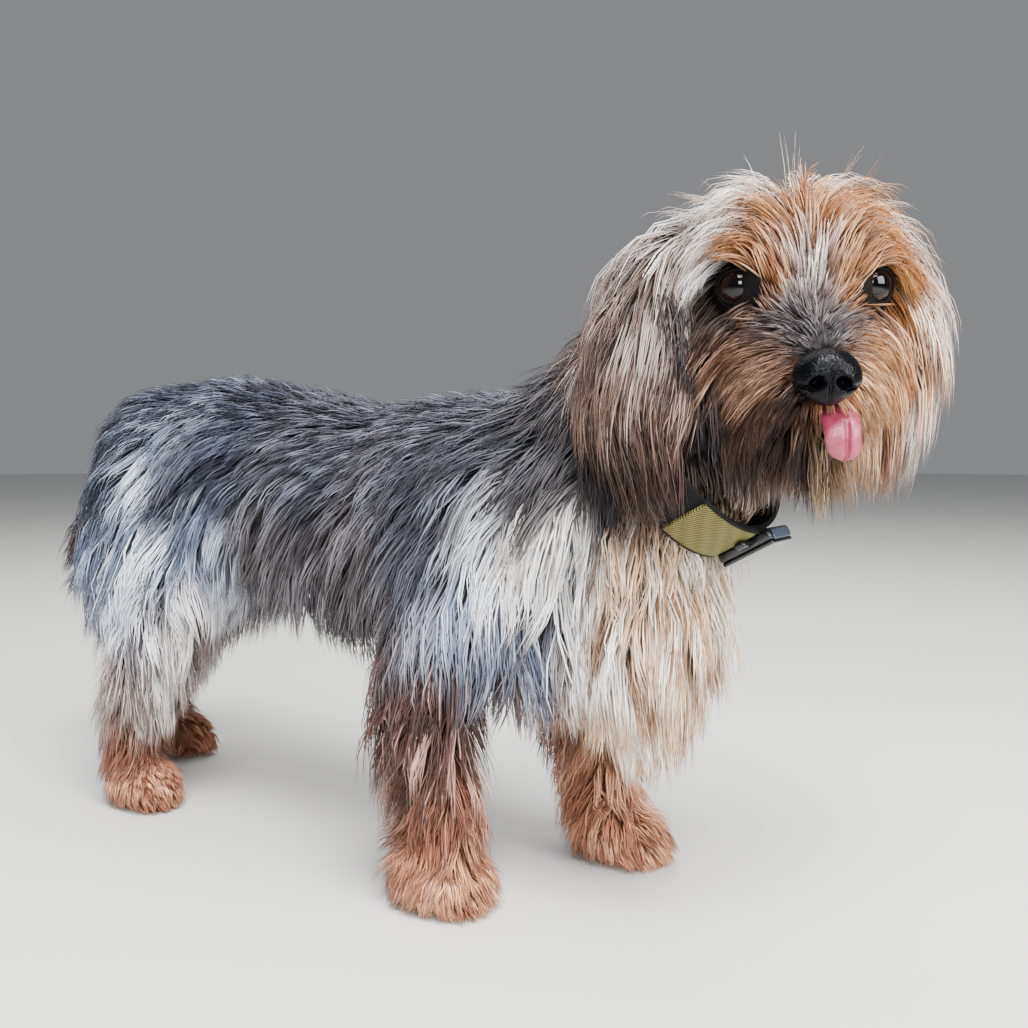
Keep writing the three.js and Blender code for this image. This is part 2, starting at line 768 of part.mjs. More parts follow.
for (const [name, leg] of Object.entries(LEGS)) {
  const front = name.startsWith("front");
  const outside = name.endsWith("left") ? 0 : 180;
  const towardsRear = outside === 0 ? -1 : 1;
  bodyNode(`${name}_paw`, [leg.paw], tanCoat, {
    floor: true,
    beds: [
      { on: leg.paw, rows: [0.3, 0.65], columns: [40, 140], lie: v3(0.7, 0, -0.7), length: 20, width: 22 },
    ],
  });
  bodyNode(`${name}_lower`, [leg.lower], tanCoat, {
    floor: true,
    beds: [
      {
        on: leg.lower,
        rows: [0.14, 0.5],
        columns: [outside, 90, 270],
        lie: v3(-0.25, 0, -1),
        length: 30,
        width: 28,
      },
    ],
  });
  bodyNode(`${name}_upper`, [leg.upper], creamCoat, {
    beds: [
      {
        on: leg.upper,
        rows: front ? [0.42, 0.74] : [0.38, 0.7],
        columns: [outside - 70 * towardsRear, outside, outside + 70 * towardsRear],
        lie: v3(-0.35, 0, -1),
        length: 42,
        width: 32,
      },
    ],
  });
}

// The origin is under the middle of the dog's box, on the floor
dog.updateMatrixWorld(true);
const box = new THREE.Box3().setFromObject(dog, true);
dog.position.set(-(box.min.x + box.max.x) / 2, -(box.min.y + box.max.y) / 2, -box.min.z);

export default dog;
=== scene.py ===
# A Yorkshire terrier, life size, as a still model: it stands with its head turned to its right and
# its tongue just out, and wears a collar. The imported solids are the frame; this file gives them skin,
# eyes, nose, tongue, collar and a long silky coat.
import math

import bpy
import numpy as np
from mathutils import Matrix, Vector
from mathutils.bvhtree import BVHTree
from mathutils.kdtree import KDTree


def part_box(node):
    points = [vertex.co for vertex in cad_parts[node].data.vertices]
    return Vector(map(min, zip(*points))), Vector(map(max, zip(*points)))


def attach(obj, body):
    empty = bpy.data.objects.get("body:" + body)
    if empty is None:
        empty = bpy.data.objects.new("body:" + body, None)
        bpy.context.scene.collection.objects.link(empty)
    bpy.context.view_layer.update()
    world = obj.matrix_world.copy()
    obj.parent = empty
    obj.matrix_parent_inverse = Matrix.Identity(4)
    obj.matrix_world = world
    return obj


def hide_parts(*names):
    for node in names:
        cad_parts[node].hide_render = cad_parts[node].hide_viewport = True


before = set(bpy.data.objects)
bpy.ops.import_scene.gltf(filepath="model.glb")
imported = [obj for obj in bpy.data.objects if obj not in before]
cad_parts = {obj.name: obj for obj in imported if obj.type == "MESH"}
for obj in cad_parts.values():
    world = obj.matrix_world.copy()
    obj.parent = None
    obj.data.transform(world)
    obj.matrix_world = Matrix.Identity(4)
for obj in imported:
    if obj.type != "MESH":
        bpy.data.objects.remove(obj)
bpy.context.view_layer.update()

bpy.ops.object.select_all(action="DESELECT")

# Camera, light and floor
# The photograph was taken from the dog's right front, at the height of its throat and looking a little
# down, in open shade. Here the dog stands on plain pale paper, lit by four soft lamps.

# Sizes are millimetres in the axes that the solids were drawn in: x to the chest, y to the dog's left,
# z up, the floor at 0. The head has its own: forward, left and up from the middle of the skull.
RIGHT, LEFT = -1, 1
SKULL_CENTRE = np.array([122.0, 3.0, 256.0])
HEAD_TURN, HEAD_NOD = math.radians(-57), math.radians(7)
TURN = np.array(Matrix.Rotation(HEAD_TURN, 3, "Z") @ Matrix.Rotation(HEAD_NOD, 3, "Y"))
EYE_PLACE = {RIGHT: (24, -23, 5), LEFT: (24, 23, 5)}


def on_head(points):
    """Places given in the head's axes, in the dog's axes."""
    return SKULL_CENTRE + np.asarray(points, float) @ TURN.T


# The right eye, a ball at a known place, says where the dog's axes lie in the frame
low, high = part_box("eye_right")
ORIGIN = np.array((low + high) / 2) - on_head(EYE_PLACE[RIGHT]) * 0.001


def in_frame(points):
    """Millimetres in the dog's axes to metres in the frame."""
    return np.asarray(points, float) * 0.001 + ORIGIN


def linear(colour):
    """An sRGB hex colour as linear red, green and blue."""
    parts = np.array([int(colour[i : i + 2], 16) / 255 for i in (1, 3, 5)])
    return np.where(parts <= 0.04045, parts / 12.92, ((parts + 0.055) / 1.055) ** 2.4)


def finish_for(name, colour=None, **sockets):
    """A material with one Principled shader; colour is a hex colour, the rest its sockets."""
    material = bpy.data.materials.new(name)
    material.use_nodes = True
    shader = material.node_tree.nodes["Principled BSDF"]
    if colour:
        shader.inputs["Base Color"].default_value = (*linear(colour), 1)
    for socket, value in sockets.items():
        shader.inputs[socket.replace("_", " ")].default_value = value
    return material, shader


CAMERA_AT = (297.1, -405.9, 204.0)
CAMERA_TURN, CAMERA_DOWN = math.radians(37), math.radians(4)
# The photograph's width and its focal length, both in its pixels, and a sensor's width in millimetres
PHOTO_WIDTH, FOCAL_LENGTH, SENSOR_WIDTH = 1028, 1113, 36
bpy.ops.object.camera_add(location=in_frame(CAMERA_AT))
camera = bpy.context.object
camera.rotation_euler = (math.pi / 2 - CAMERA_DOWN, 0, CAMERA_TURN)
camera.data.sensor_width = SENSOR_WIDTH
camera.data.lens = SENSOR_WIDTH * FOCAL_LENGTH / PHOTO_WIDTH
camera.data.clip_start = 0.01
bpy.context.scene.camera = camera

FLOOR_RADIUS = 6
bpy.ops.mesh.primitive_circle_add(vertices=96, radius=FLOOR_RADIUS, fill_type="NGON")
floor = bpy.context.object
floor.name = "floor"
# Studio paper: pale and matt, so that only the shadow shows on it
paper, _ = finish_for("studio_paper", "#d9d8d5", Roughness=0.9)
floor.data.materials.append(paper)

# A broad lamp above and behind the camera, one over the rump, one before the face, and a small one
# that glints in the eyes: name, place, size in metres, watts
LAMPS_AIM = (-40, 0, 170)
for name, place, size, power in (
    ("key", (620, -560, 1400), 0.8, 72),
    ("sky", (-500, 400, 1500), 1.4, 24),
    ("face", (1150, -150, 620), 0.6, 22),
    ("glint", (600, -800, 470), 0.22, 5),
):
    bpy.ops.object.light_add(type="AREA", location=in_frame(place))
    lamp = bpy.context.object
    lamp.name = name
    lamp.data.size = size
    lamp.data.energy = power
    aim = Vector(in_frame(LAMPS_AIM)) - lamp.location
    lamp.rotation_euler = aim.to_track_quat("-Z", "Y").to_euler()
world = bpy.data.worlds.new("studio")
world.use_nodes = True
air = world.node_tree.nodes["Background"]
air.inputs["Color"].default_value = (0.86, 0.88, 0.92, 1)
air.inputs["Strength"].default_value = 0.29
bpy.context.scene.world = world

# Skin
# The body under the coat: one closed hide from nose to tail, grown over flesh. Each part is drawn out
# along a curve through stations, and then all are made one surface. It stands for the flesh solids and
# lies inside them by the depth of the hair.


def in_head(points):
    """Places in the dog's axes, in the head's axes."""
    return (np.asarray(points, float) - SKULL_CENTRE) @ TURN


def unit(vectors):
    return vectors / np.maximum(np.linalg.norm(vectors, axis=-1, keepdims=True), 1e-9)


def smooth(low, high, x):
    """Goes from 0 at low to 1 at high, easing in and out."""
    s = np.clip((x - low) / (high - low), 0, 1)
    return s * s * (3 - 2 * s)


def mixed(a, b, share):
    share = np.asarray(share)[..., None]
    return a * (1 - share) + b * share


def add(material, kind, inputs=None, outputs=None, **settings):
    """Adds a node with its settings and links. An input is a value, or a node and the name of its
    output; an output is the node that it goes to and the name of the socket there."""
    tree = material.node_tree
    node = tree.nodes.new(kind)
    for name, value in settings.items():
        setattr(node, name, value)
    for name, value in (inputs or {}).items():
        if isinstance(value, tuple) and isinstance(value[0], bpy.types.Node):
            tree.links.new(value[0].outputs[value[1]], node.inputs[name])
        else:
            node.inputs[name].default_value = value
    for name, (target, socket) in (outputs or {}).items():
        tree.links.new(node.outputs[name], target.inputs[socket])
    return node


def mesh_piece(name, points, faces, material):
    """A piece from points in the dog's axes."""
    mesh = bpy.data.meshes.new(name)
    mesh.from_pydata(in_frame(points).tolist(), [], faces)
    mesh.update()
    piece = bpy.data.objects.new(name, mesh)
    bpy.context.scene.collection.objects.link(piece)
    mesh.materials.append(material)
    mesh.shade_smooth()
    return piece


def only(piece):
    """Makes one piece the selected and active one."""
    bpy.ops.object.select_all(action="DESELECT")
    piece.select_set(True)
    bpy.context.view_layer.objects.active = piece


def apply_all(piece):
    only(piece)
    for modifier in list(piece.modifiers):
        bpy.ops.object.modifier_apply(modifier=modifier.name)


def on_curve(points, t):
    """Centripetal Catmull-Rom through the points, at t from 0 to 1."""
    p = np.asarray(points, float)
    p = np.vstack([2 * p[0] - p[1], p, 2 * p[-1] - p[-2]])
    gap = np.maximum(np.sqrt(np.linalg.norm(np.diff(p, axis=0), axis=1)), 1e-4)
    x = np.clip(t, 0, 1) * (len(points) - 1)
    i = np.minimum(x.astype(int), len(points) - 2)
    w = (x - i)[:, None]
    a, b, c, d = p[i], p[i + 1], p[i + 2], p[i + 3]
    g0, g1, g2 = (gap[i + k][:, None] for k in range(3))
    start = ((b - a) / g0 - (c - a) / (g0 + g1) + (c - b) / g1) * g1
    end = ((c - b) / g1 - (d - b) / (g1 + g2) + (d - c) / g2) * g1
    square = 3 * (c - b) - 2 * start - end
    cube = 2 * (b - c) + start + end
    return b + start * w + square * w**2 + cube * w**3


class Stretch:
    """A part of the body along a curve. Each station gives its place, half width, half height and the
    depth of the coat, which only helps to space the curve through the sizes. The ends are rounded off
    over caps, two shares of the length."""

    def __init__(self, stations, up=(0, 0, 1), caps=(0.12, 0.12)):
        s = np.asarray(stations, float)
        self.places, self.sizes, self.caps = s[:, :3], s[:, 3:], caps
        self.up = np.asarray(up, float)

    def at(self, t):
        """Centres, the three axes and the half sizes at shares of the length."""
        e = 1e-3
        centre = on_curve(self.places, t)
        ahead = on_curve(self.places, np.minimum(t + e, 1))
        behind = on_curve(self.places, np.maximum(t - e, 0))
        along = unit(ahead - behind)
        side = unit(np.cross(self.up, along))
        half, tall, _ = on_curve(self.sizes, t).T
        return centre, along, side, np.cross(along, side), half, tall

    def end_share(self, t):
        """How full the ends are: rounded off over the first and last share of the length."""
        start, stop = self.caps
        near = np.minimum(np.minimum(t / start if start else 1, (1 - t) / stop if stop else 1), 1)
        return np.sqrt(np.maximum(0, 1 - (1 - near) ** 2))

    def hull(self, rings=40, sides=32, grow=0.0):
        """Points and faces of the closed surface, which grows by so much on its top and flanks."""
        t = np.arccos(np.linspace(1, -1, rings + 1)) / math.pi
        centre, _, side, rise, half, tall = self.at(t)
        full = np.maximum(self.end_share(t), 0.25)[:, None, None]
        a = np.linspace(0, 2 * math.pi, sides, endpoint=False)[None, :, None]
        more = grow * smooth(-0.9, 0.4, np.sin(a))
        wide = side[:, None] * (half[:, None, None] + more) * np.cos(a)
        high = rise[:, None] * (tall[:, None, None] + more) * np.sin(a)
        grid = (centre[:, None] + full * (wide + high))[1:-1]
        points = np.vstack([centre[:1], grid.reshape(-1, 3), centre[-1:]])
        last = len(points) - 1
        faces = []
        for r in range(rings - 2):
            for k in range(sides):
                a0, b0 = 1 + r * sides + k, 1 + r * sides + (k + 1) % sides
                faces.append((a0, b0, b0 + sides, a0 + sides))
        for k in range(sides):
            n = (k + 1) % sides
            faces.append((0, 1 + n, 1 + k))
            faces.append((last, last - sides + k, last - sides + n))
        return points, faces


def head_stations(rows):
    rows = np.asarray(rows, float)
    return np.hstack([on_head(rows[:, :3]), rows[:, 3:]])


HEAD_UP, HEAD_FORWARD = TURN @ (0, 0, 1), TURN @ (1, 0, 0)
# Each part by its stations: place, half width, half height and depth of the coat
BODY = {
    "trunk": Stretch([
        (-286, 0, 186, 18, 20, 12), (-266, 0, 186, 38, 36, 16), (-236, 0, 182, 44, 43, 15),
        (-190, 0, 177, 44, 49, 14), (-140, 0, 171, 43, 47, 12), (-85, 0, 163, 44, 47, 12),
        (-35, 0, 160, 46, 53, 13), (8, 0, 159, 46, 53, 14), (44, 0, 156, 42, 48, 22),
        (70, 0, 148, 30, 36, 22)], caps=(0.12, 0.1)),
    "ruff": Stretch([
        (52, 0, 176, 28, 18, 8), (64, 0, 156, 30, 15, 14), (69, 0, 130, 26, 12, 20),
        (60, 0, 106, 22, 14, 20), (56, 0, 90, 12, 9, 12)], up=(1, 0, 0)),
    "neck": Stretch([
        (14, 0, 178, 36, 38, 12), (42, 0, 197, 33, 36, 18), (66, -2, 217, 26, 31, 22),
        (90, -1, 238, 25, 28, 22), (108, 0, 252, 26, 26, 14)]),
    "neck_throat": Stretch([
        (96, -3, 232, 16, 12, 12), (97, -4, 212, 25, 17, 12), (87, -4, 190, 29, 19, 12),
        (68, -2, 168, 26, 18, 12)], up=(1, 0, 0), caps=(0.2, 0.2)),
    "skull": Stretch(head_stations([
        (-36, 0, 0, 22, 20, 16), (-18, 0, 4, 31, 28, 20), (4, 0, 3, 34, 30, 20),
        (22, 0, -2, 30, 27, 12), (34, 0, -8, 22, 19, 10)]), up=HEAD_UP, caps=(0.2, 0.15)),
    "muzzle": Stretch(head_stations([
        (14, 0, -10, 24, 20, 12), (34, 0, -15, 18, 14, 14), (52, 0, -19, 14, 11, 10),
        (64, 0, -21, 11, 9, 4)]), up=HEAD_UP, caps=(0.2, 0.2)),
    "chin": Stretch(head_stations([
        (10, 0, -32, 20, 9, 16), (30, 0, -37, 16, 7, 16), (46, 0, -40, 11, 5, 12),
        (58, 0, -41, 8, 4, 5)]), up=HEAD_UP, caps=(0.2, 0.2)),
    "ear_right": Stretch(head_stations([
        (-14, -30, 28, 5, 10, 8), (-10, -49, 14, 8, 14, 12), (1, -56, -8, 13, 15, 15),
        (11, -53, -34, 16, 13, 15), (19, -46, -52, 11, 8, 12)]), up=HEAD_FORWARD, caps=(0.15, 0.15)),
    "ear_left": Stretch(head_stations([
        (-12, 28, 24, 4, 12, 8), (-10, 38, 10, 5, 16, 9), (-4, 42, -12, 6, 17, 9),
        (3, 37, -36, 6, 12, 9), (9, 31, -48, 4, 7, 7)]), up=HEAD_FORWARD, caps=(0.15, 0.15)),
    "tail": Stretch([
        (-272, 0, 206, 9, 9, 8), (-292, -4, 200, 8, 8, 9), (-305, -9, 178, 6, 6, 11),
        (-308, -12, 150, 4, 4, 12), (-304, -13, 124, 2, 2, 7)], up=(1, 0, 0)),
}
# For each leg: distance out, x of the shin, x of the middle of the paw, x of the knee for a hind leg
LEGS = {
    "front_leg_right": (-47, -9, -14, None),
    "front_leg_left": (46, 12, 20, None),
    "hind_leg_right": (-46, -235, -232, -150),
    "hind_leg_left": (30, -310, -302, -210),
}
for leg, (y, shin, paw, knee) in LEGS.items():
    ankle = (shin + paw) / 2
    if knee is None:
        upper = [(shin + 8, y * 0.74, 172, 14, 28, 10), (shin + 4, y * 0.87, 144, 17, 26, 14),
                 (shin - 6, y, 112, 13, 20, 18), (shin - 8, y, 86, 10, 14, 18)]
        lower = [(shin - 8, y, 104, 9, 13, 17), (shin - 7, y, 88, 10, 13, 17),
                 (shin - 4, y, 64, 8.5, 10, 15), (shin, y, 42, 8.5, 9.5, 11),
                 (ankle, y, 24, 9.5, 11, 7), (ankle + 1, y, 12, 8, 9, 7)]
    else:
        thigh = (shin + knee) / 2
        upper = [(-236, y * 0.62, 190, 20, 34, 10), (-232, y * 0.84, 156, 21, 38, 14),
                 (thigh - 22, y * 0.98, 118, 17, 30, 18), (thigh - 30, y, 88, 12, 22, 20)]
        lower = [(thigh - 28, y, 108, 12, 20, 20), (thigh - 30, y, 90, 12, 20, 20),
                 (shin + 4, y, 66, 9, 14, 20), (shin - 6, y, 46, 8.5, 11, 18),
                 (ankle - 2, y, 24, 9, 10, 12), (ankle, y, 12, 8, 9, 7)]
    # The hind paws are a little shorter and narrower
    s = 1 if knee is None else 0.95
    foot = [(paw - 20 * s, y, 13, 10 * s, 9, 6), (paw - 6 * s, y, 15, 13.5 * s, 12, 8),
            (paw + 12 * s, y, 12, 14 * s, 9.5, 8), (paw + 22 * s, y, 9, 10 * s, 6, 5)]
    BODY[leg + "_upper"] = Stretch(upper, up=(1, 0, 0))
    BODY[leg + "_lower"] = Stretch(lower, up=(1, 0, 0))
    BODY[leg + "_paw"] = Stretch(foot, caps=(0.2, 0.2))

# Over the back the hair is short, so that the body itself is fuller there
hulls = [part.hull(grow=5 if name == "trunk" else 0) for name, part in BODY.items()]
# Folds of the head that the coat doesn't hide, on both sides: brows, cheeks, the whisker beds and the
# upper lip, each an egg at its place with its half sizes
FOLDS = [((27, 13, 13), (9, 10, 7)), ((22, 24, -14), (12, 9, 12)), ((50, 8.5, -24), (13, 8, 8)),
         ((40, 13, -27), (14, 6, 6)), ((58, 4.5, -31), (7, 5.5, 4))]
for (forward, left, up), (long, wide, tall) in FOLDS:
    for side in (RIGHT, LEFT):
        fold = Stretch(head_stations([
            (forward - long, side * left, up, 0.1, 0.1, 0), (forward, side * left, up, wide, tall, 0),
            (forward + long, side * left, up, 0.1, 0.1, 0)]), up=HEAD_UP, caps=(0.5, 0.5))
        hulls.append(fold.hull(16, 16))
points, faces = [], []
for hull_points, hull_faces in hulls:
    faces += [tuple(len(points) + v for v in face) for face in hull_faces]
    points += hull_points.tolist()

# Skin under a Yorkshire terrier's coat is grey to pinkish and only shows dark between the hairs; here that
# shade is painted into it
hide, hide_shader = finish_for("dog_skin", Roughness=0.62, Specular_IOR_Level=0.12)
skin = mesh_piece("skin", points, faces, hide)
only(skin)
skin.data.remesh_voxel_size = 0.0022
bpy.ops.object.voxel_remesh()
ease = skin.modifiers.new("ease", "SMOOTH")
ease.factor, ease.iterations = 0.5, 5
apply_all(skin)
corners = np.empty(len(skin.data.vertices) * 3)
skin.data.vertices.foreach_get("co", corners)
skin_points = (corners.reshape(-1, 3) - ORIGIN) * 1000
# The soles are pressed flat on the floor
SOLE_PRESSED, SOLE_HEIGHT = 2.2, 0.4
skin_points[:, 2] = np.where(skin_points[:, 2] < SOLE_PRESSED, SOLE_HEIGHT, skin_points[:, 2])
skin.data.vertices.foreach_set("co", in_frame(skin_points).ravel())
skin.data.shade_smooth()
skin_faces = [tuple(face.vertices) for face in skin.data.polygons]
skin_tree = BVHTree.FromPolygons(skin_points.tolist(), skin_faces)
eye_balls = {side: on_head(EYE_PLACE[side]) for side in (RIGHT, LEFT)}
PARTS = list(BODY)
# Each part is felt in so many slices, and a slice reaches one such share of its length along it
SLICES, REACHES = 24, 14


def part_of(places):
    """Which part of the body each place belongs to, and where on it: share along and turn round."""
    best = np.full(len(places), np.inf)
    part = np.zeros(len(places), int)
    t = np.zeros(len(places))
    turn = np.zeros(len(places))
    stations = (np.arange(SLICES) + 0.5) / SLICES
    for number, name in enumerate(PARTS):
        centre, along, side, rise, half, tall = BODY[name].at(stations)
        full = np.maximum(BODY[name].end_share(stations), 0.3)
        reach = np.linalg.norm(np.diff(centre, axis=0), axis=1).sum() / REACHES
        for k in range(SLICES):
            d = places - centre[k]
            x, y = d @ side[k] / (half[k] * full[k]), d @ rise[k] / (tall[k] * full[k])
            z = d @ along[k] / reach
            level = x * x + y * y + z * z
            hit = level < best
            best[hit], part[hit], t[hit] = level[hit], number, stations[k]
            turn[hit] = np.arctan2(y[hit], x[hit])
    return part, t, np.degrees(turn) % 360


# Markings and combing go together, in one table for the body and one for the head: at each place on the
# dog's right, mirrored to its left, how the coat lies and which of these mixes of hair grows there.
# A mix is its main, its light and its dark colour, and the shares of light and dark tufts; where two are
# named, the first is the dog's right. There the sides differ partly in their markings and partly by painted
# light: the dog's right cheek, jowl and inner curtain and the lower face are painted darker for the shade on
# them. Its left face is painted lighter and more golden, and its left foreleg lighter, where the light fell.
MIXES = {
    "saddle": ("#282936", "#50566c", "#191a21", 0.24, 0.22),
    "grizzle": ("#3c3d47", "#666a7a", "#2a2a33", 0.26, 0.2),
    "white": ("#8f9cb4", "#eef5ff", "#525c74", 0.32, 0.24),
    "snow": ("#d3c5be", "#ffffff", "#96857a", 0.42, 0.14),
    "steel": ("#4d5260", "#9aa4b8", "#2f323c", 0.3, 0.22),
    "flank": ("#534c4f", "#767175", "#3d373a", 0.26, 0.2),
    "silver": ("#78839b", "#dfe9f7", "#414759", 0.32, 0.28),
    "beige": ("#a5928a", "#f0e9e5", "#6b5650", 0.36, 0.24),
    "pearl": ("#ccc2bd", "#ffffff", "#86766f", 0.4, 0.18),
    "cream": ("#d9b592", "#fff9ef", "#9a7051", 0.38, 0.18),
    "brown": ("#4d322b", "#b39083", "#2c1c18", 0.19, 0.26),
    "shin": ("#784634", "#a9745c", "#4b2c22", 0.26, 0.22),
    "paw": ("#c08260", "#e6ae8a", "#8c5741", 0.28, 0.18),
    "nape": ("#1d1a20", "#38363d", "#100e13", 0.12, 0.3),
    "tail": ("#463b38", "#7c7470", "#2a2524", 0.2, 0.3),
    "crest": ("#c6ae9c", "#fffcf9", "#8d6c55", 0.42, 0.16),
    "brow": ("#8c531f", "#b9854a", "#5d391b", 0.24, 0.18),
    "blaze": ("#b3a5a3", "#f0ebe9", "#7b706e", 0.4, 0.14),
    "bridge": ("#383337", "#6c6468", "#221f22", 0.2, 0.3),
    "cheek": ("#7d5843", "#be9a80", "#42291f", 0.24, 0.24),
    "gold": ("#a46c3b", "#deb482", "#643d20", 0.3, 0.18),
    # jowl: dark wet hair by the mouth, darker still as painted shade under the head on the dog's right
    "jowl": ("#2b1a16", "#6a4a3a", "#160c0b", 0.12, 0.3),
    "beard": ("#6d573f", "#b29c7b", "#2b1f18", 0.24, 0.28),
    # socket: dark hair round the eyes, darker still as painted shade in the sockets
    "socket": ("#1e1411", "#4a352a", "#0d0808", 0.15, 0.3),
    "curtain": ("#6c564a", "#c4b9b7", "#33282a", 0.18, 0.32),
    # veil: hair of the ear's curtain painted darker as the shade inside it on the dog's right, and under the
    # chin
    "veil": ("#4d3a31", "#a3938e", "#221919", 0.14, 0.36),
    "ends": ("#412e24", "#96795f", "#1c1311", 0.16, 0.36),
}
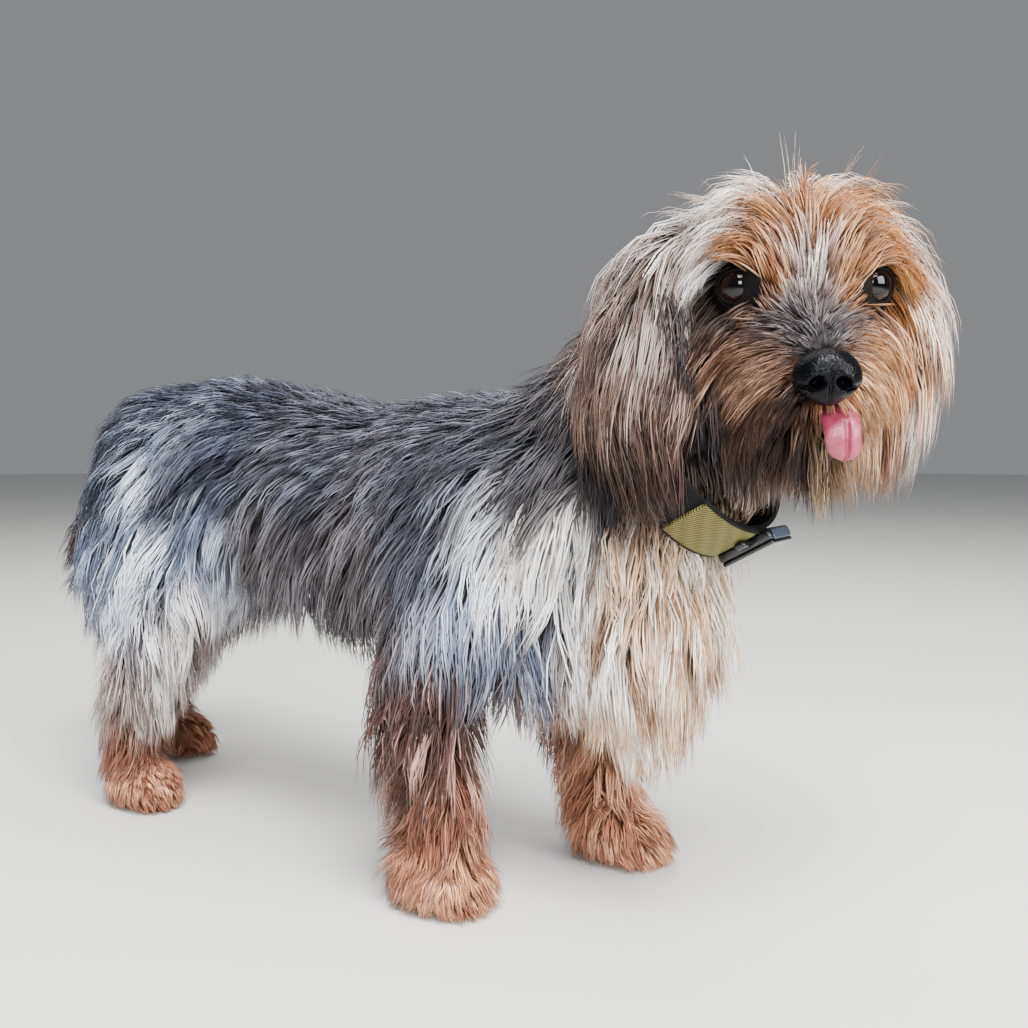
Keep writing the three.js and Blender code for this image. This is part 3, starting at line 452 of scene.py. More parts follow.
# Place; direction; length, degrees raised at the root, depth of the layer, fall, wave, how far the
# hairs of a tuft draw together; mix
COMBED = (
    (-268, 12, 214, -0.7, 0.35, -0.6, 32, 16, 11, 0.45, 0.8, 0.3, "saddle"),
    (-215, 12, 224, -0.97, 0.2, -0.15, 22, 8, 7, 0.3, 0.5, 0.18, "saddle"),
    (-150, 12, 216, -0.97, 0.2, -0.15, 21, 8, 7, 0.3, 0.5, 0.18, "saddle"),
    (-80, 12, 210, -0.97, 0.2, -0.15, 21, 8, 7, 0.3, 0.5, 0.18, "grizzle"),
    (-10, 12, 212, -0.95, 0.25, -0.2, 25, 8, 9, 0.35, 0.5, 0.18, "grizzle"),
    (-262, 30, 206, -0.6, 0.2, -0.75, 32, 14, 11, 0.45, 1.0, 0.35, "grizzle"),
    (-226, 40, 204, -0.8, 0.1, -0.5, 28, 11, 9, 0.4, 0.8, 0.3, "steel"),
    (-210, 46, 190, -0.5, 0.05, -0.85, 38, 14, 11, 0.5, 1.4, 0.5, "white"),
    (-238, 50, 182, -0.45, 0.05, -0.85, 38, 16, 12, 0.5, 1.4, 0.5, "saddle"),
    (-262, 46, 182, -0.4, 0.05, -0.9, 40, 16, 12, 0.5, 1.4, 0.5, "saddle"),
    (-188, 46, 182, -0.6, 0.05, -0.75, 34, 12, 11, 0.5, 1.0, 0.35, "grizzle"),
    (-165, 46, 168, -0.5, 0.05, -0.85, 42, 12, 12, 0.5, 1.2, 0.4, "silver"),
    (-205, 50, 157, -0.3, 0.05, -0.95, 50, 16, 14, 0.6, 2.4, 0.55, "white"),
    (-150, 44, 192, -0.85, 0.1, -0.45, 25, 8, 8, 0.4, 0.5, 0.2, "saddle"),
    (-80, 44, 186, -0.85, 0.1, -0.5, 25, 8, 8, 0.4, 0.5, 0.2, "grizzle"),
    (-10, 46, 182, -0.7, 0.1, -0.7, 32, 9, 11, 0.5, 0.6, 0.22, "grizzle"),
    (-176, 46, 148, -0.15, 0, -0.98, 48, 14, 13, 0.6, 2.2, 0.55, "white"),
    (-120, 46, 158, -0.5, 0, -0.85, 46, 11, 11, 0.6, 1.6, 0.28, "flank"),
    (-60, 46, 158, -0.5, 0, -0.85, 44, 11, 11, 0.6, 1.6, 0.28, "flank"),
    (-130, 42, 134, 0.15, 0, -1, 46, 12, 12, 0.6, 2.2, 0.4, "flank"),
    (-70, 44, 128, 0.4, 0, -0.92, 48, 12, 12, 0.45, 2.2, 0.4, "flank"),
    (-110, 8, 120, 0, 0.2, -1, 24, 40, 12, 0.9, 1.2, 0.5, "flank"),
    (-30, 10, 108, 0.1, 0.2, -1, 24, 40, 12, 0.9, 1.2, 0.5, "steel"),
    (-6, 48, 162, -0.4, 0, -0.92, 54, 14, 13, 0.6, 1.8, 0.5, "grizzle"),
    (18, 48, 158, -0.3, 0, -0.95, 56, 16, 15, 0.6, 2.6, 0.6, "white"),
    (-24, 50, 134, -0.2, 0, -1, 44, 14, 13, 0.6, 2.2, 0.55, "flank"),
    (8, 50, 134, -0.2, 0, -1, 46, 16, 15, 0.6, 2.4, 0.55, "steel"),
    (34, 46, 138, -0.05, 0, -1, 52, 18, 17, 0.7, 2.8, 0.6, "silver"),
    (40, 42, 172, -0.2, 0.1, -0.95, 56, 18, 17, 0.6, 2.4, 0.55, "pearl"),
    (52, 36, 142, 0, 0, -1, 52, 20, 19, 0.8, 2.8, 0.6, "pearl"),
    (68, 26, 160, 0.2, 0.1, -0.95, 52, 24, 20, 0.8, 2.8, 0.6, "cream"),
    (82, 10, 145, 0.35, 0.1, -0.95, 50, 26, 20, 0.8, 2.8, 0.6, "cream"),
    (74, 8, 112, 0.2, 0.05, -1, 42, 26, 18, 0.9, 2.4, 0.6, "cream"),
    (50, 20, 100, 0, 0.1, -1, 40, 26, 16, 0.9, 2.4, 0.6, "cream"),
    (-290, 12, 186, -0.3, 0.25, -0.95, 44, 20, 13, 0.7, 1.6, 0.5, "silver"),
    (-250, 54, 157, -0.25, 0, -1, 50, 16, 15, 0.7, 2.4, 0.55, "white"),
    (-215, 54, 130, -0.2, 0, -1, 46, 16, 15, 0.7, 2.6, 0.6, "silver"),
    (-180, 46, 122, -0.1, 0, -1, 40, 18, 15, 0.7, 2.4, 0.6, "beige"),
    (-280, 40, 140, -0.35, 0, -0.95, 48, 24, 17, 0.6, 2.4, 0.6, "silver"),
    (-262, 50, 112, -0.5, 0, -0.9, 46, 28, 19, 0.6, 2.8, 0.6, "beige"),
    (-225, 50, 104, -0.3, 0, -0.95, 42, 24, 18, 0.7, 2.8, 0.6, "beige"),
    (-260, 48, 84, -0.7, 0, -0.75, 42, 34, 22, 0.55, 2.8, 0.6, "pearl"),
    (-262, 48, 60, -0.65, 0, -0.8, 36, 34, 20, 0.55, 2.8, 0.6, "pearl"),
    (-216, 50, 74, 0, 0, -1, 32, 24, 16, 0.8, 2.4, 0.6, "beige"),
    (-236, 48, 44, -0.2, 0, -1, 28, 28, 15, 0.7, 2.6, 0.6, "shin"),
    (-236, 46, 24, 0, 0, -1, 16, 26, 10, 0.6, 1.8, 0.5, "paw"),
    (-222, 46, 16, 0.75, 0.1, -0.5, 11, 22, 6, 0.4, 0.8, 0.5, "paw"),
    (4, 58, 116, -0.3, 0, -0.95, 46, 16, 14, 0.6, 2.4, 0.6, "brown"),
    (-30, 56, 114, -0.45, 0.05, -0.9, 54, 20, 19, 0.5, 2.6, 0.6, "brown"),
    (-28, 56, 88, -0.5, 0.05, -0.87, 54, 28, 21, 0.5, 3.0, 0.6, "brown"),
    # The left foreleg's lighter mixes are partly its markings and partly painted light, where light fell on
    # it from behind
    (2, 56, 84, -0.3, 0, -0.95, 42, 20, 15, 0.6, 2.6, 0.6, "brown|shin"),
    (18, 52, 84, 0.15, 0, -0.98, 34, 26, 13, 0.7, 2.4, 0.55, "brown|paw"),
    (-14, 52, 54, -0.5, 0, -0.87, 42, 32, 20, 0.5, 3.0, 0.6, "shin|paw"),
    (10, 52, 50, 0.1, 0, -1, 24, 24, 11, 0.7, 2.2, 0.55, "shin|paw"),
    (-6, 50, 28, -0.2, 0, -1, 24, 30, 13, 0.5, 2.4, 0.6, "paw"),
    (8, 50, 16, 0.75, 0.1, -0.5, 12, 24, 6, 0.4, 0.8, 0.5, "paw"),
    (20, 26, 205, -0.7, 0.4, -0.6, 44, 20, 15, 0.5, 1.6, 0.45, "grizzle"),
    (44, 32, 200, -0.4, 0.3, -0.85, 50, 22, 17, 0.6, 1.8, 0.5, "nape"),
    (70, 26, 205, -0.1, 0.3, -0.95, 46, 24, 18, 0.8, 1.8, 0.5, "nape"),
    (104, 3, 205, 0.4, 0.1, -0.9, 30, 26, 14, 0.8, 1.6, 0.4, "veil"),
    (98, 3, 180, 0.3, 0.1, -0.95, 32, 26, 16, 0.8, 2.0, 0.5, "beard"),
    (92, 24, 215, 0.1, 0.2, -0.95, 36, 24, 16, 0.8, 1.6, 0.5, "nape"),
    (72, 14, 245, -0.7, 0.3, -0.6, 44, 24, 16, 0.5, 1.6, 0.45, "nape"),
    (-290, 6, 200, -0.5, 0.5, -0.8, 44, 24, 10, 0.6, 2.4, 0.6, "tail"),
    (-306, 12, 150, -0.45, 0.7, -0.6, 42, 24, 9, 0.6, 2.6, 0.6, "tail"),
)
# The same on the head, in its own axes: forward, out from its middle and up
COMBED_HEAD = (
    (-36, 6, 8, -0.5, 0.3, -0.8, 46, 26, 16, 0.7, 1.5, 0.4, "curtain"),
    (-28, 10, 28, -0.6, 0.55, -0.1, 34, 22, 11, 0.85, 1.4, 0.35, "curtain|crest"),
    (-4, 12, 32, -0.25, 0.9, 0.25, 42, 34, 20, 0.9, 1.2, 0.35, "crest"),
    (-8, 2, 34, -0.5, 0.65, 0.6, 38, 44, 24, 0.75, 1.2, 0.3, "crest"),
    (8, 2, 33, -0.25, 0.7, 0.7, 34, 50, 25, 0.75, 1.0, 0.3, "crest"),
    (-6, 20, 27, -0.25, 0.9, -0.15, 46, 22, 13, 0.9, 1.3, 0.35, "curtain|crest"),
    (12, 8, 31, -0.1, 0.75, 0.75, 38, 48, 25, 0.8, 0.9, 0.25, "crest|brow"),
    (16, 17, 25, 0, 0.85, 0.15, 28, 36, 15, 0.9, 0.8, 0.2, "snow|brow"),
    (10, 27, 20, 0, 0.7, -0.55, 32, 28, 14, 0.9, 1.0, 0.3, "snow|brow"),
    (22, 6, 27, -0.2, 0.55, 0.75, 25, 42, 13, 0.65, 0.7, 0.22, "brow"),
    (31, 9, 17, 0.05, 0.5, 0.85, 20, 38, 10, 0.55, 0.5, 0.18, "brow"),
    (26, 17, 18, 0.05, 0.8, 0.5, 21, 36, 12, 0.8, 0.6, 0.18, "brow"),
    (19, 27, 15, 0.05, 0.65, -0.6, 25, 30, 12, 0.9, 0.8, 0.25, "snow|brow"),
    (24, 32, 3, 0, 0.6, -0.8, 28, 24, 11, 0.9, 1.0, 0.3, "veil|brow"),
    (2, 35, 4, -0.1, 0.45, -0.9, 46, 24, 16, 0.9, 1.3, 0.35, "curtain|gold"),
    (12, 34, -10, 0, 0.4, -0.9, 40, 24, 14, 0.9, 1.3, 0.35, "veil|gold"),
    (24, 28, -18, 0.05, 0.5, -0.85, 30, 24, 12, 0.8, 1.2, 0.3, "cheek|gold"),
    (39, 2, 2, 0.1, 0.2, 1, 15, 20, 4, 0.05, 0.4, 0.2, "blaze"),
    (34, 2, 10, 0.1, 0.25, 1, 16, 24, 5, 0.1, 0.4, 0.2, "blaze"),
    (30, 5, 17, 0.05, 0.35, 1, 18, 30, 8, 0.3, 0.5, 0.18, "brow"),
    (35, 9, 6, 0.05, 0.3, 0.9, 14, 26, 5, 0.2, 0.4, 0.2, "brow"),
    (36, 11, -3, 0, 0.3, 0.9, 10, 18, 3, 0.05, 0.3, 0.25, "cheek|gold"),
    (32, 17, -7, 0.1, 0.6, -0.6, 12, 20, 4, 0.4, 0.4, 0.25, "socket"),
    (25, 27, -7, 0.1, 0.7, -0.7, 16, 22, 5, 0.6, 0.5, 0.3, "socket|cheek"),
    (18, 33, 3, 0, 0.7, -0.6, 24, 22, 8, 0.8, 0.8, 0.3, "socket|brow"),
    (29, 20, 15, 0.05, 0.85, 0.4, 16, 28, 7, 0.6, 0.5, 0.2, "brow"),
    (46, 2, -5, -0.4, 0.4, 0.75, 11, 20, 4, 0.1, 0.4, 0.2, "bridge"),
    (57, 2, -11, -0.6, 0.5, 0.35, 9, 20, 3, 0.1, 0.3, 0.2, "bridge"),
    (46, 8, -8, -0.35, 0.9, 0.15, 15, 22, 6, 0.3, 0.5, 0.2, "bridge"),
    (44, 15, -14, -0.35, 0.9, -0.1, 20, 26, 8, 0.5, 0.7, 0.22, "cheek|gold"),
    (34, 21, -14, -0.25, 0.8, -0.4, 22, 26, 10, 0.6, 0.9, 0.25, "cheek|gold"),
    (57, 11, -24, -0.3, 0.85, -0.35, 15, 26, 7, 0.5, 0.7, 0.22, "cheek|gold"),
    (47, 17, -26, -0.2, 0.75, -0.6, 22, 26, 9, 0.6, 1.0, 0.25, "cheek|gold"),
    (40, 20, -31, -0.15, 0.65, -0.75, 26, 24, 10, 0.7, 1.2, 0.35, "jowl|gold"),
    (36, 20, -35, -0.1, 0.5, -0.85, 30, 24, 11, 0.8, 1.5, 0.4, "jowl|cheek"),
    (61, 8, -31, 0, 0.75, -0.6, 9, 24, 3, 0.4, 0.3, 0.25, "jowl|gold"),
    (64, 3, -32, 0.2, 0.3, -0.95, 9, 26, 4, 0.5, 0.3, 0.15, "jowl|gold"),
    (61, 1, -14, -0.6, 0.5, 0.3, 7, 18, 2, 0.1, 0.3, 0.2, "bridge"),
    (52, 12, -35, 0, 0.6, -0.8, 18, 24, 7, 0.7, 1.1, 0.4, "jowl|cheek"),
    (30, 17, -42, 0.05, 0.1, -1, 40, 22, 13, 0.9, 1.8, 0.45, "jowl|cheek"),
    (50, 9, -45, 0.1, 0.05, -1, 38, 24, 13, 0.9, 1.8, 0.5, "jowl|beard"),
    (58, 2, -44, 0.2, 0.1, -0.95, 31, 24, 12, 0.9, 1.6, 0.5, "jowl|beard"),
    (8, 14, -40, 0.1, 0, -1, 36, 22, 14, 0.9, 1.6, 0.45, "beard"),
    (20, 4, -46, 0.1, 0, -1, 32, 22, 14, 0.9, 1.6, 0.45, "beard"),
    (-12, 40, 24, -0.1, 0.6, -0.75, 54, 22, 9, 0.85, 1.2, 0.35, "beige|snow"),
    (-16, 50, 8, -0.15, 0.35, -0.95, 58, 20, 13, 0.9, 1.2, 0.35, "curtain"),
    (8, 46, 10, 0.1, 0.15, -0.98, 54, 18, 11, 0.9, 1.2, 0.35, "veil|snow"),
    (4, 50, -20, 0.15, -0.25, -0.95, 50, 18, 11, 0.85, 1.3, 0.35, "veil|snow"),
    (0, 68, -12, 0.05, 0.1, -1, 54, 16, 14, 0.95, 1.4, 0.4, "curtain"),
    (14, 50, -42, 0.3, -0.5, -0.85, 44, 18, 12, 0.8, 1.5, 0.4, "jowl|cheek"),
    (6, 66, -45, 0.2, -0.35, -0.92, 44, 14, 13, 0.85, 1.5, 0.45, "ends"),
)
ON_HEAD = [name in ("skull", "muzzle", "chin", "ear_right", "ear_left") for name in BODY]
# Where combing() gives the lie, and the mix of colours: main, light, dark and the shares
LIE, MAIN, LIGHT, DARK = slice(0, 3), slice(9, 12), slice(12, 15), slice(15, 18)
LIGHT_SHARE, DARK_SHARE = 18, 19


def combing(places, part):
    """For each root: the lie, the six numbers of its row and the eleven of its mix, by nearness."""
    on = np.array(ON_HEAD)[part]
    result = np.empty((len(places), 20))
    # The left legs stand elsewhere than the right ones, which the table describes
    places = places.copy()
    names = np.array(PARTS)[part]
    for leg, shift in (("front_leg_left", -26), ("hind_leg_left", 72)):
        on_leg = np.char.startswith(names, leg)
        places[:, 0] += on_leg * shift * smooth(190, 70, places[:, 2])
    # For the body and the head, how wide the two sides run together and how softly the rows do
    for rows, here, where, parting, ease in ((COMBED, places, ~on, 8, 40),
                                             (COMBED_HEAD, in_head(places), on, 4, 10)):
        table = np.array([row[:12] for row in rows], float)
        mixes = [np.array([[*linear(m[0]), *linear(m[1]), *linear(m[2]), *m[3:]] for m in
                           (MIXES[row[12].split("|")[k]] for row in rows)]) for k in (0, -1)]
        spots = here[where]
        side = np.clip(spots[:, 1:2] / parting, -1, 1)
        mirrored = np.hstack([spots[:, :1], np.abs(spots[:, 1:2]), spots[:, 2:]])
        d = mirrored[:, None] - table[None, :, :3]
        weight = 1 / ((d**2).sum(2) + ease) ** 2
        weight /= weight.sum(1, keepdims=True)
        mix = mixed(weight @ mixes[0], weight @ mixes[1], side[:, 0] / 2 + 0.5)
        value = np.hstack([weight @ table[:, 3:], mix])
        value[:, 1:2] *= side
        if rows is COMBED_HEAD:
            value[:, LIE] = value[:, LIE] @ TURN.T
        result[where] = value
    return result


# The hide is the colour of the hair on it, darkened as painted shade for the shade that falls between the
# hairs, and black in the mouth's corner and round the eyes
HIDE_PAINTED_SHADE, HIDE_BLACK = 0.4, "#070404"
shade = np.ones((len(skin_points), 4))
shade[:, :3] = combing(skin_points, part_of(skin_points)[0])[:, MAIN] * HIDE_PAINTED_SHADE
forward, left, up = in_head(skin_points).T
dark = smooth(18, 26, forward) * smooth(17, 13, np.abs(left - 1))
dark = dark * smooth(-27, -30, up) * smooth(-43, -40, up)
for ball in eye_balls.values():
    dark = np.maximum(dark, smooth(18, 13, np.linalg.norm(skin_points - ball, axis=1)))
shade[:, :3] = mixed(shade[:, :3], linear(HIDE_BLACK), dark)
skin.data.color_attributes.new("coat", "FLOAT_COLOR", "POINT").data.foreach_set("color", shade.ravel())
add(hide, "ShaderNodeAttribute", None, {"Color": (hide_shader, "Base Color")}, attribute_name="coat")
place = add(hide, "ShaderNodeTexCoord")
# Stubble and pores, about 0.8 mm apart
pores = add(hide, "ShaderNodeTexNoise", {"Vector": (place, "Object"), "Scale": 1200.0, "Detail": 3.0})
add(hide, "ShaderNodeBump", {"Height": (pores, "Fac"), "Strength": 0.5, "Distance": 0.0006},
    {"Normal": (hide_shader, "Normal")})
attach(skin, "root")
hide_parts("torso", "neck", "head", "jaw", "ear_right", "ear_left", "tail",
            *[f"{leg}_{bit}" for leg in LEGS for bit in ("upper", "lower", "paw")])

# Eyes
# Large, round, very dark brown eyes under a clear wet cornea; the white hardly shows. Each is a ball
# with a raised front, set in its socket so that it looks a little outward.
EYE_RADIUS, CORNEA_RISE = 8.5, 0.06
EYE_WAY = {side: TURN @ unit(np.array([0.9, out, 0.05])) for side, out in ((RIGHT, -0.13), (LEFT, 0.34))}
# A wet cornea: a hard clear gloss, with the pupil, the iris and the dark edge of the white behind it
eye, eye_shader = finish_for("wet_eye", Roughness=0.03, IOR=1.36)
ring = add(eye, "ShaderNodeAttribute", attribute_name="from_middle")
iris = add(eye, "ShaderNodeValToRGB", {"Fac": (ring, "Fac")}, {"Color": (eye_shader, "Base Color")})
for spot, colour in ((0.0, "#020202"), (0.22, "#030202"), (0.27, "#120804"), (0.46, "#1f0f08"),
                     (0.52, "#050303"), (0.62, "#1d1513")):
    stop = iris.color_ramp.elements.new(spot) if spot else iris.color_ramp.elements[0]
    stop.color = (*linear(colour), 1)
iris.color_ramp.elements[-1].color = (*linear("#2f2420"), 1)
for side, name in ((RIGHT, "right"), (LEFT, "left")):
    bpy.ops.mesh.primitive_uv_sphere_add(segments=48, ring_count=32, radius=1)
    ball = bpy.context.object
    ball.name = "eyeball_" + name
    co = np.array([v.co for v in ball.data.vertices])
    middle = co[:, 2]
    bulge = 1 + CORNEA_RISE * smooth(0.72, 0.95, middle)
    turn = np.array(Vector((0, 0, 1)).rotation_difference(Vector(EYE_WAY[side])).to_matrix())
    placed = on_head(EYE_PLACE[side]) + (co * bulge[:, None] * EYE_RADIUS) @ turn.T
    ball.data.vertices.foreach_set("co", in_frame(placed).ravel())
    from_middle = ball.data.attributes.new("from_middle", "FLOAT", "POINT")
    from_middle.data.foreach_set("value", np.arccos(np.clip(middle, -1, 1)) / math.pi * 2)
    ball.data.materials.append(eye)
    ball.data.shade_smooth()
    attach(ball, "root")
    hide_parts("eye_" + name)

# Eyelids
# Black, hairless rims of skin that lie on the eyeball in an almond, thicker above, each made as one
# rolled edge.
LID_AROUND, LID_ROLL = 40, 8
# How far the rim lies from the way the eye looks, in degrees: to this it adds most at the corners, and
# the upper and the lower rim take some off in their middles
LID_OPEN, LID_CORNERS, LID_UPPER, LID_LOWER = 46, 10, 6, 2


def face_outward(piece):
    """Turns the faces of a closed piece outward."""
    only(piece)
    bpy.ops.object.mode_set(mode="EDIT")
    bpy.ops.mesh.select_all(action="SELECT")
    bpy.ops.mesh.normals_make_consistent(inside=False)
    bpy.ops.object.mode_set(mode="OBJECT")


# Bare moist skin: nearly black, with a dull and slightly uneven gloss
rims, rims_shader = finish_for("lid_rims", "#030202", Roughness=0.42, IOR=1.16)
place = add(rims, "ShaderNodeTexCoord")
damp = add(rims, "ShaderNodeTexNoise", {"Vector": (place, "Object"), "Scale": 900.0})
add(rims, "ShaderNodeBump", {"Height": (damp, "Fac"), "Strength": 0.3, "Distance": 0.0003},
    {"Normal": (rims_shader, "Normal")})
points, faces = [], []
for side in (RIGHT, LEFT):
    way = EYE_WAY[side]
    across = unit(np.cross(HEAD_UP, way)) * side
    above = np.cross(way, across) * side
    start = len(points)
    for i in range(LID_AROUND):
        a = 2 * math.pi * i / LID_AROUND
        upper = math.sin(a) > 0
        lowered = (LID_UPPER if upper else LID_LOWER) * abs(math.sin(a))
        open_angle = math.radians(LID_OPEN + LID_CORNERS * abs(math.cos(a)) ** 2 - lowered)
        rim = across * math.cos(a) + above * math.sin(a)
        out = unit(way * math.cos(open_angle) + rim * math.sin(open_angle))
        inward = unit(way - out * (way @ out))
        thick = 1.0 if upper else 0.7
        centre = on_head(EYE_PLACE[side]) + out * (EYE_RADIUS + 0.3) - inward * 0.6
        for j in range(LID_ROLL):
            b = 2 * math.pi * j / LID_ROLL
            points.append(centre + thick * (out * math.cos(b) * 0.8 + inward * math.sin(b) * 1.3))
    for i in range(LID_AROUND):
        this, following = start + i * LID_ROLL, start + ((i + 1) % LID_AROUND) * LID_ROLL
        for j in range(LID_ROLL):
            n = (j + 1) % LID_ROLL
            if side == LEFT:
                faces.append((this + j, following + j, following + n, this + n))
            else:
                faces.append((this + j, this + n, following + n, following + j))
lids = mesh_piece("eyelids", np.array(points), faces, rims)
face_outward(lids)
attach(lids, "root")

# Nose
# A black button of wet leather with a round nostril on either side, a slit that curls out from each,
# and a groove down the middle. It is one ball at the tip of the muzzle, flattened in front, with the
# nostrils, the slits and the groove pushed in.
NOSE_AT, NOSE_SIZE = (68, 1, -24.5), (8.3, 11.4, 9.6)
# Wet leather: nearly black with a faint blue bloom, and a gloss that its pebbles break up
leather, leather_shader = finish_for("nose_leather", Roughness=0.26, IOR=1.2)
place = add(leather, "ShaderNodeTexCoord")
bloom = add(leather, "ShaderNodeTexNoise", {"Vector": (place, "Object"), "Scale": 160.0, "Detail": 3.0})
tone = add(leather, "ShaderNodeValToRGB", {"Fac": (bloom, "Fac")}, {"Color": (leather_shader, "Base Color")})
tone.color_ramp.elements[0].color = (*linear("#020203"), 1)
tone.color_ramp.elements[1].color = (*linear("#07070b"), 1)
# Pebbles of the nose print, about 0.7 mm across
pebbles = add(leather, "ShaderNodeTexVoronoi", {"Vector": (place, "Object"), "Scale": 1500.0},
              feature="SMOOTH_F1")
add(leather, "ShaderNodeBump", {"Height": (pebbles, "Distance"), "Strength": 0.55, "Distance": 0.0004},
    {"Normal": (leather_shader, "Normal")}, invert=True)

bpy.ops.mesh.primitive_uv_sphere_add(segments=192, ring_count=96, radius=1)
nose = bpy.context.object
nose.name = "nose_button"
co = np.array([v.co for v in nose.data.vertices]) * NOSE_SIZE
# Narrower below, flattened in front, and grooved down the middle
FLAT_FROM, GROOVE_HALF, GROOVE_DEEP = 6.4, 0.6, 0.9
co[:, 1] *= 1 - 0.24 * smooth(-2, -9, co[:, 2])
co[:, 0] = np.where(co[:, 0] > FLAT_FROM, FLAT_FROM + 0.65 * (co[:, 0] - FLAT_FROM), co[:, 0])
groove = np.exp(-((co[:, 1] / GROOVE_HALF) ** 2))
co[:, 0] -= GROOVE_DEEP * groove * smooth(2, 5, co[:, 0]) * smooth(4, 0, co[:, 2])
# On either side a round pit with a raised rim, and the slit that curls out and down from it
PIT_OUT, PIT_DOWN, PIT_DEEP, RIM_HIGH, SLIT_DEEP = 4.4, 1.6, 5.6, 0.9, 2.2
flank, height = np.abs(co[:, 1]), co[:, 2]
beside, over = flank - PIT_OUT, height + PIT_DOWN
pit = np.exp(-(((beside / 2.3) ** 2 + ((over + 0.25 * beside) / 1.9) ** 2) ** 1.4))
bend = height + 2.8 + 0.1 * (flank - 9.5) ** 2
slit = np.exp(-((bend / 0.75) ** 2)) * smooth(5, 6.5, flank) * smooth(11.4, 10, flank)
rim = np.exp(-(((flank - 4.6) / 3.6) ** 2) - (over / 3.4) ** 2)
pushed = smooth(0, 2.5, co[:, 0]) * (RIM_HIGH * rim - PIT_DEEP * pit)
co[:, 0] += pushed - smooth(-3, 1, co[:, 0]) * SLIT_DEEP * slit
nose.data.vertices.foreach_set("co", in_frame(on_head(co + NOSE_AT)).ravel())
nose.data.materials.append(leather)
nose.data.shade_smooth()
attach(nose, "root")
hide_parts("nose")

# Tongue
# Soft wet flesh that lies over the lower lip, with a groove along its middle and a rounded tip. It is
# drawn out along a curve like the parts of the body, from inside the mouth to its tip.
TONGUE = Stretch(head_stations([
    (28, 4, -34, 6, 2, 0), (50, 6, -35, 6.4, 2.1, 0), (60, 7, -38, 6.4, 2.1, 0), (65, 7.5, -43, 6.3, 2, 0),
    (66, 8, -48, 6.0, 1.9, 0), (65.5, 8, -53, 5.6, 1.7, 0)]), up=HEAD_UP + HEAD_FORWARD, caps=(0.1, 0.24))
# Wet flesh: a blotchy deep pink that glows a little where light goes in, under a thin shine
flesh, flesh_shader = finish_for("tongue_flesh", Roughness=0.3, Subsurface_Weight=0.2, Coat_Weight=0.12)
flesh_shader.inputs["Subsurface Radius"].default_value = (0.004, 0.0015, 0.001)
flesh_shader.inputs["Subsurface Scale"].default_value = 0.4
place = add(flesh, "ShaderNodeTexCoord")
blotch = add(flesh, "ShaderNodeTexNoise", {"Vector": (place, "Object"), "Scale": 220.0, "Detail": 4.0})
pinks = add(flesh, "ShaderNodeValToRGB", {"Fac": (blotch, "Fac")}, {"Color": (flesh_shader, "Base Color")})
for stop, spot, colour in zip(pinks.color_ramp.elements, (0.3, 0.7), ("#6d1a31", "#9e3f58")):
    stop.position, stop.color = spot, (*linear(colour), 1)
# Taste buds, about half a millimetre apart
buds = add(flesh, "ShaderNodeTexVoronoi", {"Vector": (place, "Object"), "Scale": 1800.0})
add(flesh, "ShaderNodeBump", {"Height": (buds, "Distance"), "Strength": 0.35, "Distance": 0.0004},
    {"Normal": (flesh_shader, "Normal")})
points, faces = TONGUE.hull(rings=90, sides=96)
local = in_head(points)
# The groove's place across the head, its half width, and its depth on the hanging and the lying part
GROOVE_AT, GROOVE_HALF, GROOVE_HANGING, GROOVE_LYING = 9.0, 0.9, 1.5, 0.9
groove = np.exp(-(((local[:, 1] - GROOVE_AT) / GROOVE_HALF) ** 2)) * smooth(40, 58, local[:, 0])
local[:, 0] -= GROOVE_HANGING * groove * smooth(-38, -41, local[:, 2]) * smooth(-55, -51, local[:, 2])
local[:, 2] -= GROOVE_LYING * groove * smooth(-41, -36, local[:, 2])
tongue = mesh_piece("tongue_tip", on_head(local), faces, flesh)
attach(tongue, "root")
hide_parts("tongue")

# Collar band
# A flat band of black woven webbing, closed round the neck, loose enough to hang at the throat and
# mostly sunk in the coat. It is a strap drawn round a tilted oval: the oval's middle, its axis towards
# the head, its half height and half width, then the band's half width and its thickness.
COLLAR_AT, COLLAR_AXIS = np.array((84, -5, 205.0)), unit(np.array((0.88, -0.05, 0.47)))
COLLAR_OUT = unit(np.cross((0, 1, 0), COLLAR_AXIS))
COLLAR_SIDE = np.cross(COLLAR_OUT, COLLAR_AXIS)
COLLAR_TALL, COLLAR_WIDE, BAND_HALF, BAND_THICK = 45, 41, 10, 2.5


def round_collar(turn, offset, along):
    """A place by its turn from the throat, minus to the dog's right, its height over the band's inside
    and how far it lies towards the head."""
    out = ((COLLAR_TALL + offset) * np.cos(turn))[..., None] * COLLAR_OUT
    side = ((COLLAR_WIDE + offset) * np.sin(turn))[..., None] * COLLAR_SIDE
    return COLLAR_AT + out - side + np.asarray(along)[..., None] * COLLAR_AXIS


